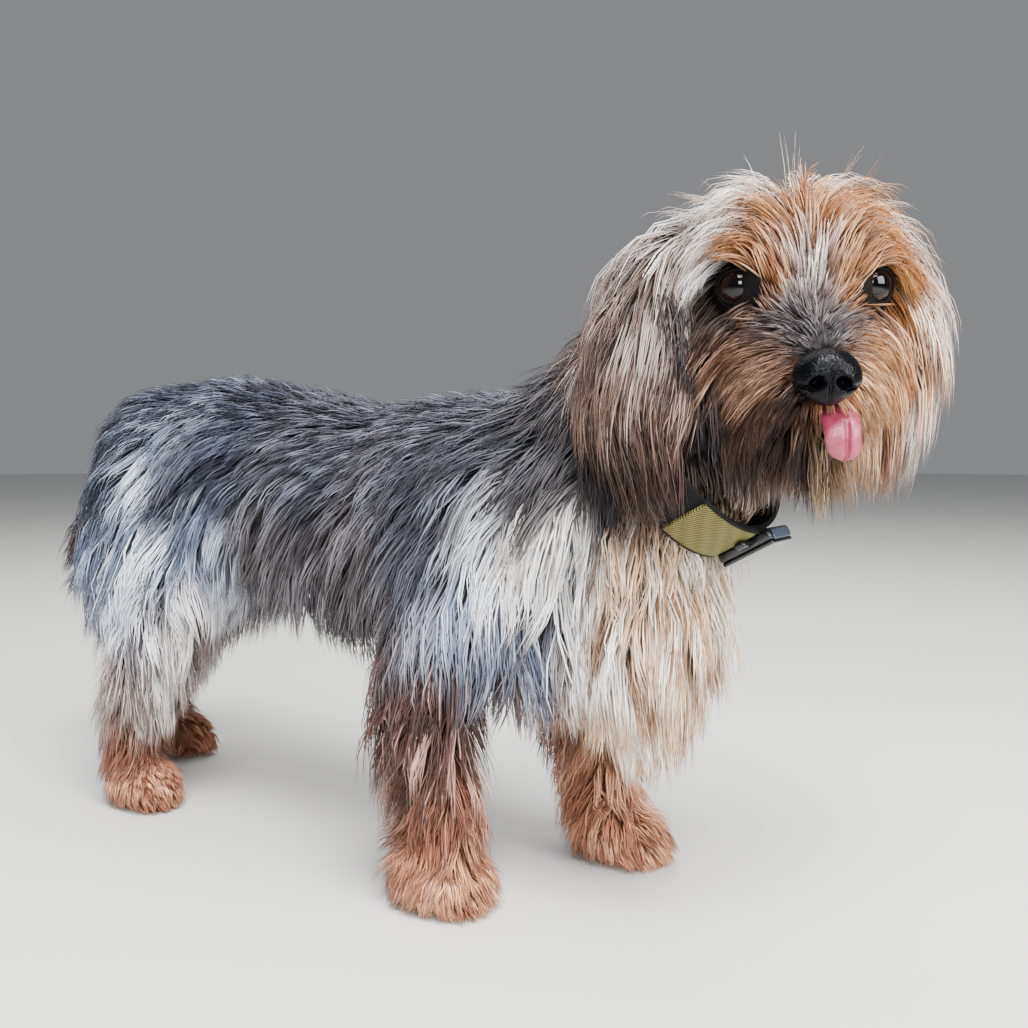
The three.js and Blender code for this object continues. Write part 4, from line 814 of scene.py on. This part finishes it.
def strap(name, start, stop, steps, low, thick, half, square, shift, material):
    """A length of strap from one turn to another, low over the band's inside and shifted towards the
    head. Its section is round at square 1 and squarer below; its UV map gives millimetres."""
    whole = stop - start >= 2 * math.pi
    turns = np.linspace(start, stop, steps + 1)[: steps if whole else None]
    roll = np.linspace(0, 2 * math.pi, 24, endpoint=False)
    rise = low + thick / 2 * (1 + np.sign(np.cos(roll)) * np.abs(np.cos(roll)) ** square)
    cross = shift + half * np.sign(np.sin(roll)) * np.abs(np.sin(roll)) ** square
    grid = round_collar(turns[:, None], rise, cross)
    n = len(roll)
    faces = []
    for i in range(len(turns) - (0 if whole else 1)):
        j = (i + 1) % len(turns)
        faces += [(i * n + k, j * n + k, j * n + (k + 1) % n, i * n + (k + 1) % n) for k in range(n)]
    if not whole:
        faces += [tuple(range(n)), tuple((len(turns) - 1) * n + k for k in reversed(range(n)))]
    piece = mesh_piece(name, grid.reshape(-1, 3), faces, material)
    along = np.repeat(turns * (COLLAR_TALL + low), n)
    measure = np.stack([along, np.tile(cross, len(turns))], 1)
    loops = np.array([loop.vertex_index for loop in piece.data.loops])
    piece.data.uv_layers.new(name="weave").data.foreach_set("uv", measure[loops].ravel())
    face_outward(piece)
    bpy.ops.object.shade_smooth_by_angle(angle=math.radians(50))
    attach(piece, "root")
    return piece


# Woven nylon: black and dull, with ribs that catch a little light
webbing, webbing_shader = finish_for("black_webbing", "#08080a", Roughness=0.8, IOR=1.3)
measure = add(webbing, "ShaderNodeUVMap", uv_map="weave")
# Ribs of the webbing 1.2 mm apart, crossed by finer ones
ribs = add(webbing, "ShaderNodeTexWave", {"Vector": (measure, "UV"), "Scale": 0.26, "Distortion": 0.6},
           bands_direction="X")
threads = add(webbing, "ShaderNodeTexWave", {"Vector": (measure, "UV"), "Scale": 0.5}, bands_direction="Y")
both = add(webbing, "ShaderNodeMath", {0: (ribs, "Fac"), 1: (threads, "Fac")}, operation="MULTIPLY")
add(webbing, "ShaderNodeBump", {"Height": (both, "Value"), "Strength": 0.8, "Distance": 0.0005},
    {"Normal": (webbing_shader, "Normal")})
band = strap("collar_webbing", 0, 2 * math.pi, steps=120, low=0, thick=BAND_THICK, half=BAND_HALF,
             square=0.35, shift=0, material=webbing)
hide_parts("collar_band")

# Collar panel
# A woven yellow mesh panel, sewn over the band on the dog's right, with a black piped edge along each
# of its two sides. All three are short straps on the band, from one turn to another.
PANEL_FROM, PANEL_TO, PANEL_HALF = -0.8, -0.14, 11
# Woven mesh: yellow-olive threads with dark gaps between them, matt and uneven to the eye
woven, woven_shader = finish_for("woven_yellow_mesh", Roughness=0.6)
measure = add(woven, "ShaderNodeUVMap", uv_map="weave")
slant = add(woven, "ShaderNodeMapping", {"Vector": (measure, "UV"), "Rotation": (0, 0, 0.9)})
# Yellow threads 1 mm apart with black ones between, in slanting rows about 4 mm wide
rows = add(woven, "ShaderNodeTexWave", {"Vector": (slant, "Vector"), "Scale": 0.31, "Distortion": 0.5})
wide_rows = add(woven, "ShaderNodeTexWave", {"Vector": (measure, "UV"), "Scale": 0.075, "Distortion": 1.5},
                bands_direction="DIAGONAL")
shades = add(woven, "ShaderNodeValToRGB", {"Fac": (rows, "Fac")})
for stop, spot, colour in zip(shades.color_ramp.elements, (0.2, 0.75), ("#1b1a0b", "#847f2b")):
    stop.position, stop.color = spot, (*linear(colour), 1)
# Sockets 6 and 7 of the mix are its two colours, and 2 is the colour that comes out
add(woven, "ShaderNodeMix",
    {"Factor": (wide_rows, "Fac"), 6: (shades, "Color"), 7: (*linear("#a59c31"), 1)},
    {2: (woven_shader, "Base Color")}, data_type="RGBA", blend_type="SOFT_LIGHT")
add(woven, "ShaderNodeBump", {"Height": (rows, "Fac"), "Strength": 0.9, "Distance": 0.0006},
    {"Normal": (woven_shader, "Normal")})
panel = strap("collar_yellow_panel", PANEL_FROM, PANEL_TO, steps=40, low=BAND_THICK + 0.3, thick=1.9,
              half=PANEL_HALF, square=0.5, shift=0, material=woven)
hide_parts("collar_panel")
for name, edge in (("collar_piping_low", -PANEL_HALF), ("collar_piping_high", PANEL_HALF)):
    piping = strap(name, PANEL_FROM - 0.02, PANEL_TO + 0.02, steps=40, low=BAND_THICK, thick=2.0, half=0.9,
                   square=1, shift=edge, material=webbing)

# Collar case
# A flat case of black moulded plastic that sits on the band under the throat, beside the panel: its body,
# its lid, a blue-grey inset in its end that is a painted reflection, and the clip that holds it. All are
# boxes with rounded edges.

# Moulded plastic: black, smooth and fairly glossy, with a fine grain that softens the shine
plastic, plastic_shader = finish_for("black_plastic", "#0c0d0f", Roughness=0.24)
place = add(plastic, "ShaderNodeTexCoord")
grain = add(plastic, "ShaderNodeTexNoise", {"Vector": (place, "Object"), "Scale": 2500.0})
add(plastic, "ShaderNodeBump", {"Height": (grain, "Fac"), "Strength": 0.12, "Distance": 0.0002},
    {"Normal": (plastic_shader, "Normal")})
# Painted reflection on the case's black end: blue-grey for the light that it reflects, smoother and shinier
# than the case round it
reflection_paint, _ = finish_for("case_end_painted_reflection", "#39424f", Roughness=0.12)


def block(name, centre, size, edge, material):
    """A box with rounded edges in the collar's own axes: out from the throat, along the neck, across."""
    bpy.ops.mesh.primitive_cube_add(size=1)
    piece = bpy.context.object
    piece.name = name
    co = np.array([v.co for v in piece.data.vertices]) * size + centre
    co[:, 0] += COLLAR_TALL
    placed = COLLAR_AT + co @ np.array([COLLAR_OUT, COLLAR_AXIS, COLLAR_SIDE])
    piece.data.vertices.foreach_set("co", in_frame(placed).ravel())
    piece.data.materials.append(material)
    face_outward(piece)
    bevel = piece.modifiers.new("edge", "BEVEL")
    bevel.width, bevel.segments = edge * 0.001, 5
    apply_all(piece)
    bpy.ops.object.shade_smooth_by_angle(angle=math.radians(40))
    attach(piece, "root")
    return piece


case = block("collar_case_body", (BAND_THICK + 3, 2, -5), (5, 25, 18), 1.6, plastic)
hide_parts("collar_case")
block("collar_case_lid", (BAND_THICK + 6.2, 2, -5), (1.8, 24, 17), 0.8, plastic)
# The case's black end, painted blue-grey as its reflection
block("collar_case_end_painted_reflection", (BAND_THICK + 3.6, 14.3, -5), (4, 1, 13), 0.4, reflection_paint)
block("collar_clip", (BAND_THICK + 3, 4, 7), (3, 5, 8), 1.2, plastic)

# Coat
# Silky hair without undercoat, in tufts that grow on the skin and lie as they were combed: parted
# along the back, falling down the flanks to a fringe, standing out on the head. Each hair is a thin
# three-sided solid that tapers to a point; the hairs of a tuft draw together towards its tip.
RNG = np.random.default_rng(11)
# Tufts to the square centimetre, hairs to the tuft, rings to the hair, its width and half the tuft's
GROWTH = {
    "trunk": (2.95, 7, 4, 0.98, 3.9), "back": (6.0, 7, 3, 0.95, 3.2), "ruff": (5.4, 8, 4, 0.9, 3.5),
    "neck": (3.3, 7, 4, 0.95, 3.6), "skull": (10, 7, 5, 0.6, 2.6), "muzzle": (23, 6, 3, 0.42, 1.7),
    "chin": (13, 7, 4, 0.55, 2.2), "ear": (6.2, 8, 5, 0.7, 3.0), "tail": (8, 6, 4, 0.8, 3.0),
    "upper": (3.0, 7, 4, 0.98, 3.8), "lower": (7.6, 6, 3, 0.8, 2.6), "paw": (20, 4, 2, 0.65, 1.5),
}


def growth_of(name):
    return GROWTH.get(name) or GROWTH.get(name.split("_")[-1]) or GROWTH[name.split("_")[0]]


def kind_of(part, turn):
    """Which row of the growth table: the trunk's top bears shorter hair."""
    kinds = np.array(PARTS)[part].astype(object)
    kinds[(kinds == "trunk") & (turn > 35) & (turn < 145)] = "back"
    return kinds.astype(str)


def feel(places):
    """For each place: the nearest spot of the skin, the way out of it there, and the height over it."""
    out = np.empty_like(places)
    near = np.empty_like(places)
    for i, place in enumerate(places):
        near[i], out[i], _, _ = skin_tree.find_nearest(place)
    above = places - near
    height = np.linalg.norm(above, axis=1) * np.sign((above * out).sum(1))
    return near, out, height


# The skin's faces, as four corners each, their middles and their areas
corner = skin_points[np.array([face[:4] if len(face) > 3 else face + face[-1:] for face in skin_faces])]
middle = corner.mean(1)
area = np.linalg.norm(np.cross(corner[:, 2] - corner[:, 0], corner[:, 3] - corner[:, 1]), axis=1) / 2
face_part, _, face_turn = part_of(middle)
thick = np.array([growth_of(kind)[0] for kind in kind_of(face_part, face_turn)]) / 100
# None grow where the nose, the eyes and the open mouth are, or on the soles
NOSE_BARE, EYE_BARE, SOLE_BARE = (7.4, 10, 8.6), 8.9, 1.5
local = in_head(middle)
forward, left, up = local.T
bare = (((local - NOSE_AT) / NOSE_BARE) ** 2).sum(1) < 1
for ball in eye_balls.values():
    bare |= np.linalg.norm(middle - ball, axis=1) < EYE_BARE
bare |= (forward > 44) & (np.abs(left - 6) < 7) & (up < -34.5) & (up > -38)
bare |= middle[:, 2] < SOLE_BARE
# Fewer under the belly and on the inside of the legs
THINNED = 0.42
inside = (np.abs(middle[:, 1]) < 34) & (middle[:, 2] < 120) & (middle[:, 0] < 40) & (forward < -60)
share = np.cumsum(area * thick * ~bare * np.where(inside, THINNED, 1.0))
count = int(share[-1])
pick = np.searchsorted(share, (np.arange(count) + RNG.random(count)) / count * share[-1])
pick = np.minimum(pick, len(middle) - 1)
u, v = RNG.random((2, count, 1))
c = corner[pick]
roots = (c[:, 0] * (1 - u) + c[:, 1] * u) * (1 - v) + (c[:, 3] * (1 - u) + c[:, 2] * u) * v
roots, root_out, _ = feel(roots)
root_part, root_t, root_turn = part_of(roots)
names = np.array(PARTS)[root_part]
kinds = kind_of(root_part, root_turn)
comb = combing(roots, root_part)
lie, length, rise, depth, fall, wave, draw = comb[:, LIE], *comb[:, 3:9].T
length = length * RNG.uniform(0.8, 1.12, count)
rise = np.radians(rise * RNG.uniform(0.6, 1.4, count))
layer = depth * RNG.uniform(0.1, 1.0, count) ** 0.7


def drift(places, size, seed):
    """A smooth wander from -1 to 1 over the coat, the same for neighbouring tufts."""
    turn = np.random.default_rng(seed).normal(0, 1, (5, 3)) / size
    phase = np.random.default_rng(seed + 9).uniform(0, 6.28, 5)
    return np.sin(places @ turn.T * 2.2 + phase).sum(1) / 2.6


# The fringe of the belly ends along a line that rises to the groin
BELLY_FROM, BELLY_TO = -175, -20
fringe = np.interp(roots[:, 0], (-185, -150, -121, -83, -37, 0), (132, 128, 118, 106, 92, 86))
drop = np.maximum(roots[:, 2] - fringe, 2) * 1.25 + 9
belly = (names == "trunk") & (roots[:, 0] > BELLY_FROM) & (roots[:, 0] < BELLY_TO)
length = np.where(belly, np.minimum(length, drop), length)
# Single thin wisps stand up off the crown
WISP_SHARE, WISP_RISE, WISP_LENGTH, WISP_FALL, WISP_LAYER, WISP_WIDTH = 0.05, 0.9, 30, 0.35, 26, 0.55
forward, left, up = in_head(roots).T
crown = (up > 25) & (np.abs(left) < 18) & (forward < 22) & (names == "skull")
wisps = crown & (RNG.random(count) < WISP_SHARE)
lie[wisps] = unit(lie[wisps]) * 0.6 + HEAD_UP + RNG.normal(0, 0.25, (wisps.sum(), 3))
rise[wisps], length[wisps], fall[wisps], layer[wisps] = WISP_RISE, WISP_LENGTH, WISP_FALL, WISP_LAYER
fine = np.where(wisps, WISP_WIDTH, 1.0)
# Neighbours wander together over some 24 mm, and each tuft a little by itself
lie = unit(lie) + 0.13 * np.stack([drift(roots, 24, k) for k in (1, 2, 3)], 1) * (length / 50)[:, None]
lie = unit(lie + RNG.normal(0, 0.035, (count, 3)))
BAND_MIDDLE = 1.2


def by_collar(places):
    """Turn from the throat, how far out as a share of the band's middle, and how far to the head."""
    q = places - COLLAR_AT
    out = q @ COLLAR_OUT / (COLLAR_TALL + BAND_MIDDLE)
    side = -(q @ COLLAR_SIDE) / (COLLAR_WIDE + BAND_MIDDLE)
    return np.arctan2(side, out), np.hypot(out, side), q @ COLLAR_AXIS


def past_collar(places, over):
    """Takes the head's hair over the band, and the hair that grows below it under the band."""
    _, reach, along = by_collar(places)
    near = smooth(26, 9, np.abs(along)) * (reach < 1.35)
    wanted = np.where(over, np.maximum(reach, 1.13), np.minimum(reach, 0.9))
    scale = 1 + (wanted / np.maximum(reach, 0.1) - 1) * near
    q = places - COLLAR_AT
    height = (q @ COLLAR_AXIS)[:, None] * COLLAR_AXIS
    return COLLAR_AT + height + (q - height) * scale[:, None]


over = np.array(ON_HEAD)[root_part]
# The middle of each tuft is drawn out step by step over the skin: it keeps off the skin, the eyes, the
# band and the floor, hangs down more and more, and seeks its own depth in the coat
STEPS, DOWN = 9, np.array((0, 0, -1.0))
ROOT_DEPTH, EYE_OFF, FLOOR_OFF = 0.8, EYE_RADIUS + 2.5, 1.0
flat = unit(lie - root_out * (lie * root_out).sum(1)[:, None])
way = unit(flat * np.cos(rise)[:, None] + root_out * np.sin(rise)[:, None])
path = np.empty((count, STEPS + 1, 3))
path[:, 0] = roots - root_out * ROOT_DEPTH
step = length / STEPS
for k in range(STEPS):
    here = path[:, k] + way * step[:, None]
    near, out, height = feel(here)
    least = 0.7 + 0.25 * layer * (k + 1) / STEPS
    here = np.where((height < least)[:, None], near + out * least[:, None], here)
    for ball in eye_balls.values():
        off = here - ball
        far = np.linalg.norm(off, axis=1)[:, None]
        here = np.where(far < EYE_OFF, ball + off / far * EYE_OFF, here)
    here = past_collar(here, over)
    here[:, 2] = np.maximum(here[:, 2], FLOOR_OFF)
    share = (k + 1) / STEPS
    hang = (fall * share**0.8)[:, None]
    along = unit(lie * (1 - hang) + DOWN * hang)
    inward = np.minimum((along * out).sum(1), 0)
    along = unit(along - out * (inward * (height < layer))[:, None])
    lift = np.clip((layer - height) / np.maximum(step, 1), -0.35, 0.7) * (1 - 0.6 * share)
    way = unit(way * 0.5 + along * 0.5 + out * (lift * 0.4)[:, None])
    path[:, k + 1] = here
for _ in range(2):
    path[:, 1:-1] = 0.5 * path[:, 1:-1] + 0.25 * (path[:, :-2] + path[:, 2:])
# Neighbouring tufts run together in locks, each led by one of them, and share its shade
LEADER_SHARE = 0.13
lead = np.flatnonzero((RNG.random(count) < LEADER_SHARE) & ~wisps)
near_lead = KDTree(len(lead))
for i, root in enumerate(roots[lead]):
    near_lead.insert(root, i)
near_lead.balance()
lock = lead[[near_lead.find(root)[1] for root in roots]]
pull = np.clip(1.25 * draw - 0.2, 0, 0.55) * (names[lock] == names) * ~wisps
path += (path[lock] - path) * (pull[:, None] * np.linspace(0, 1, STEPS + 1) ** 1.2)[..., None]


def sampled(values, at):
    """Rows of points at fractions of the way along them."""
    x = at * (values.shape[1] - 1)
    i = np.minimum(x.astype(int), values.shape[1] - 2)
    return values[:, i] * (1 - (x - i))[:, None] + values[:, i + 1] * (x - i)[:, None]


def clear(line):
    """Which hairs stay out of the eyes' sight and off the nose, the tongue and the collar's front."""
    good = np.ones(len(line), bool)
    # The points of each hair, and those halfway between them
    line = np.concatenate([line, (line[:, 1:] + line[:, :-1]) / 2], 1)
    for side, ball in eye_balls.items():
        off = line - ball
        ahead = off @ EYE_WAY[side]
        beside = np.linalg.norm(off - ahead[..., None] * EYE_WAY[side], axis=2)
        # Hair from the brow may hang a little further over the eye than hair from beside it
        room = np.where((off[:, :1] @ HEAD_UP) > 5, 5.4, 6.2)
        in_ball = np.linalg.norm(off, axis=2) < EYE_RADIUS + 0.4
        in_sight = (ahead > 3) & (beside < room) & (ahead < 30)
        good &= ~(in_ball | in_sight).any(1)
    forward, left, up = np.moveaxis(in_head(line), -1, 0)
    on_nose = ((forward - 68) / 8.8) ** 2 + (left / 11.6) ** 2 + ((up + 24) / 9.6) ** 2 < 1
    before_nose = (forward > 68) & (np.abs(left) < 10.5) & (np.abs(up + 24) < 8.5)
    on_tongue = (forward > 57) & (np.abs(left - 7.5) < 6.2) & (up < -39.5) & (up > -53)
    turn, reach, along = by_collar(line)
    on_collar = (turn > -0.86) & (turn < 0.42) & (reach > 0.93) & (reach < 1.6) & (np.abs(along) < 12)
    return good & ~(on_nose | before_nose | on_tongue | on_collar).any(1)


# Each tuft is of its mix's main, light or dark colour, drawn towards the main one, and in a lock the
# tufts tend to be alike
tuft_shade = RNG.uniform(0.88, 1.12, count)
chance = RNG.random(count)
chance = np.where(RNG.random(count) < 2 * pull, chance[lock], chance)
light, dark = chance < comb[:, LIGHT_SHARE], chance > 1 - comb[:, DARK_SHARE]
base = comb[:, MAIN]
tuft_colour = np.where(light[:, None], comb[:, LIGHT], np.where(dark[:, None], comb[:, DARK], base))
tuft_colour = mixed(base, tuft_colour, RNG.uniform(0.5, 1, count))


def hair_colour(who, s, n):
    """Colour along each hair: darkened towards the root as painted shade deep in the coat, uneven from hair
    to hair, paler to the tip.
    """
    tone = tuft_colour[who] * (tuft_shade[who] * RNG.uniform(0.82, 1.18, n))[:, None]
    fair = RNG.random(n) < 0.5 * comb[who, LIGHT_SHARE]
    tone = mixed(tone, comb[who, LIGHT], 0.7 * fair)[:, None]
    # Painted shade: half as bright at the root, where the coat shades itself, and full from a little past
    # halfway
    return tone * (0.5 + 0.5 * np.minimum(1, s * 1.8) + 0.12 * s)[None, :, None]


# Silky hair: a soft sheen along each strand over its own colour, with fine lines darker and lighter that
# give single hairs their own tone and paint the shade between them and the light on them
hair, hair_shader = finish_for("silky_hair", Roughness=0.42, Specular_IOR_Level=0.35)
tint = add(hair, "ShaderNodeAttribute", attribute_name="coat")
# Single hairs, drawn along each tuft: finer than the solids can be, about 0.3 mm apart
strands = add(hair, "ShaderNodeAttribute", attribute_name="grain")
lines = add(hair, "ShaderNodeTexNoise",
            {"Vector": (strands, "Vector"), "Scale": 1.0, "Detail": 2.0, "Roughness": 0.6})
# Fine lines at about half to one and a half times the colour: the hairs' own tone, with painted shade and
# painted sheen
strand_tone_and_shade = add(hair, "ShaderNodeMapRange",
             {"Value": (lines, "Fac"), "From Min": 0.3, "From Max": 0.7, "To Min": 0.55, "To Max": 1.4})
add(hair, "ShaderNodeVectorMath", {0: (tint, "Color"), 1: (strand_tone_and_shade, "Result")},
    {"Vector": (hair_shader, "Base Color")}, operation="MULTIPLY")
# In the bake's UV map each part of the body is unrolled in a cell of its own, MAP_CELLS to the row. A
# hair's points lie within MAP_SPOT of its root's place there.
MAP_CELLS, MAP_MARGIN, MAP_FILL, MAP_SPOT = 5, 0.03, 0.94, 0.003
map_across = root_part % MAP_CELLS + MAP_MARGIN + MAP_FILL * root_turn / 360
map_up = root_part // MAP_CELLS + MAP_MARGIN + MAP_FILL * root_t
root_cell = np.stack([map_across, map_up], 1) / MAP_CELLS
# Millimetres of hair to a radian of its wave, where along the wave each place starts, and millimetres
# of hair to one unit of the strands' pattern
CURL, STRAND = 11, 22
curl_start = 3.2 * drift(roots, 30, 5)
# The three edges of a hair, in half widths across it and up from it
EDGES = ((-1, 0), (1, 0), (0, 0.6))


def coat_piece(name, chosen):
    """One piece of the coat from the chosen tufts, as a joined mesh of hairs."""
    blocks, tints, grains, maps, quads, tris, used = [], [], [], [], [], [], 0
    for kind in sorted(set(kinds[chosen])):
        _, hairs, rings, width, spread = growth_of(kind)
        tufts = np.flatnonzero(chosen & (kinds == kind))
        who = np.repeat(tufts, hairs)
        n = len(who)
        s = np.linspace(0, 1, rings + 1)
        centre = sampled(path, s)[who]
        run = unit(np.gradient(centre, axis=1))
        side = unit(np.cross(run, root_out[who][:, None] + 1e-3))
        rise_way = np.cross(side, run)
        # Each hair's place in its tuft, its wave, its straying and its reach
        a, r = RNG.uniform(0, 2 * math.pi, n), spread * np.sqrt(RNG.random(n))
        gather = 1 - draw[who][:, None] * s**0.8
        beat = s * (length[who] / CURL)[:, None] + curl_start[who][:, None]
        beat = beat + RNG.normal(0, 0.6, (n, 1))
        swing = wave[who][:, None] * np.sin(beat) * np.minimum(1, s * 2.5)
        stray = RNG.normal(0, 0.02, (2, n, 1)) * length[who][:, None] * s**2
        x = (r * np.cos(a))[:, None] * gather + swing + stray[0]
        y = (r * np.sin(a) * 0.5)[:, None] * gather + 0.4 * swing + stray[1]
        reach = RNG.uniform(0.72, 1.06, n)[:, None, None]
        start = centre[:, :1]
        line = start + (centre - start) * reach + side * x[..., None] + rise_way * y[..., None]
        line[..., 2] = np.maximum(line[..., 2], 0.9)
        keep = clear(line) & ~(wisps[who] & (RNG.random(n) < 0.6))
        line, side, rise_way, who, n = line[keep], side[keep], rise_way[keep], who[keep], keep.sum()
        # Wider deep in the coat, thin in the wisps, and tapered to the tip
        under = (1.35 - 0.6 * np.minimum(layer / depth, 1)[who][:, None]) * fine[who][:, None]
        half = 0.5 * width * under * RNG.uniform(0.8, 1.25, n)[:, None]
        half = half * (0.8 + 0.35 * np.sin(s * 2.6)) * (1 - s**3)
        ring = [line[:, :-1] + (side[:, :-1] * across + rise_way[:, :-1] * up) * half[:, :-1, None]
                for across, up in EDGES]
        body = np.concatenate([np.stack(ring, 2).reshape(n, rings * 3, 3), line[:, -1:]], 1)
        each = rings * 3 + 1
        along = np.append(np.repeat(s[:-1], 3), 1)
        colour = hair_colour(who, s, n)
        colour = np.concatenate([np.repeat(colour[:, :-1], 3, axis=1), colour[:, -1:]], 1)
        spot = np.stack([np.repeat(RNG.random((n, 1)), each, 1), np.tile(along, (n, 1))], 2)
        uv = root_cell[who][:, None] + (spot - 0.5) * MAP_SPOT
        first = used + np.arange(n)[:, None, None] * each
        i = np.arange(rings - 1)[:, None] * 3
        k = np.arange(3)[None]
        pattern = np.stack([i + k, i + (k + 1) % 3, i + 3 + (k + 1) % 3, i + 3 + k], 2).reshape(-1, 4)
        end = (rings - 1) * 3
        ends = np.array([(end, end + 1, end + 3), (end + 1, end + 2, end + 3), (end + 2, end, end + 3),
                         (2, 1, 0)])
        # The strands' pattern: across the hair, along it, and a place of its own for each hair
        grain = np.empty((n, each, 3))
        across_hair = np.append(np.tile([across for across, _ in EDGES], rings), 0) * width * 1.6
        grain[..., 0] = across_hair + who[:, None] * 7.3 + RNG.uniform(0, 5, (n, 1))
        grain[..., 1] = along * (length[who] / STRAND)[:, None]
        grain[..., 2] = RNG.uniform(0, 50, (n, 1))
        quads.append((first + pattern[None]).reshape(-1, 4))
        tris.append((first + ends[None]).reshape(-1, 3))
        blocks.append(body.reshape(-1, 3))
        tints.append(colour.reshape(-1, 3))
        grains.append(grain.reshape(-1, 3))
        maps.append(uv.reshape(-1, 2))
        used += n * each
    quads, tris = np.concatenate(quads), np.concatenate(tris)
    mesh = bpy.data.meshes.new(name)
    mesh.vertices.add(used)
    mesh.vertices.foreach_set("co", in_frame(np.concatenate(blocks)).ravel())
    loops = np.concatenate([quads.ravel(), tris.ravel()])
    mesh.loops.add(len(loops))
    mesh.loops.foreach_set("vertex_index", loops)
    mesh.polygons.add(len(quads) + len(tris))
    starts = np.concatenate([np.arange(len(quads)) * 4, len(quads) * 4 + np.arange(len(tris)) * 3])
    mesh.polygons.foreach_set("loop_start", starts)
    mesh.update(calc_edges=True)
    rgba = np.ones((used, 4))
    rgba[:, :3] = np.concatenate(tints)
    coat = mesh.color_attributes.new("coat", "FLOAT_COLOR", "POINT")
    coat.data.foreach_set("color", rgba.ravel())
    pattern = mesh.attributes.new("grain", "FLOAT_VECTOR", "POINT")
    pattern.data.foreach_set("vector", np.concatenate(grains).ravel())
    bake = mesh.uv_layers.new(name="OFBake")
    bake.data.foreach_set("uv", np.concatenate(maps)[loops].ravel())
    mesh.materials.append(hair)
    mesh.shade_smooth()
    piece = bpy.data.objects.new(name, mesh)
    bpy.context.scene.collection.objects.link(piece)
    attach(piece, "root")


# Degrees round the trunk from its left over its back: the strip of the back, and the belly's middle
BACK_LEFT, BACK_RIGHT, BELLY = 52, 128, 262
trunk, skull = names == "trunk", names == "skull"
coat_piece("coat_back", trunk & (root_turn > BACK_LEFT) & (root_turn < BACK_RIGHT))
coat_piece("coat_flank_right", trunk & (root_turn >= BACK_RIGHT) & (root_turn < BELLY))
coat_piece("coat_flank_left", trunk & ((root_turn <= BACK_LEFT) | (root_turn >= BELLY)))
coat_piece("coat_chest", names == "ruff")
coat_piece("coat_neck", np.char.startswith(names, "neck"))
coat_piece("coat_tail", names == "tail")
coat_piece("coat_crown_right", skull & (left < 0))
coat_piece("coat_crown_left", skull & (left >= 0))
coat_piece("coat_muzzle", np.isin(names, ["muzzle", "chin"]))
coat_piece("coat_ear_right", names == "ear_right")
coat_piece("coat_ear_left", names == "ear_left")
for leg in LEGS:
    coat_piece("coat_" + leg, np.char.startswith(names, leg))
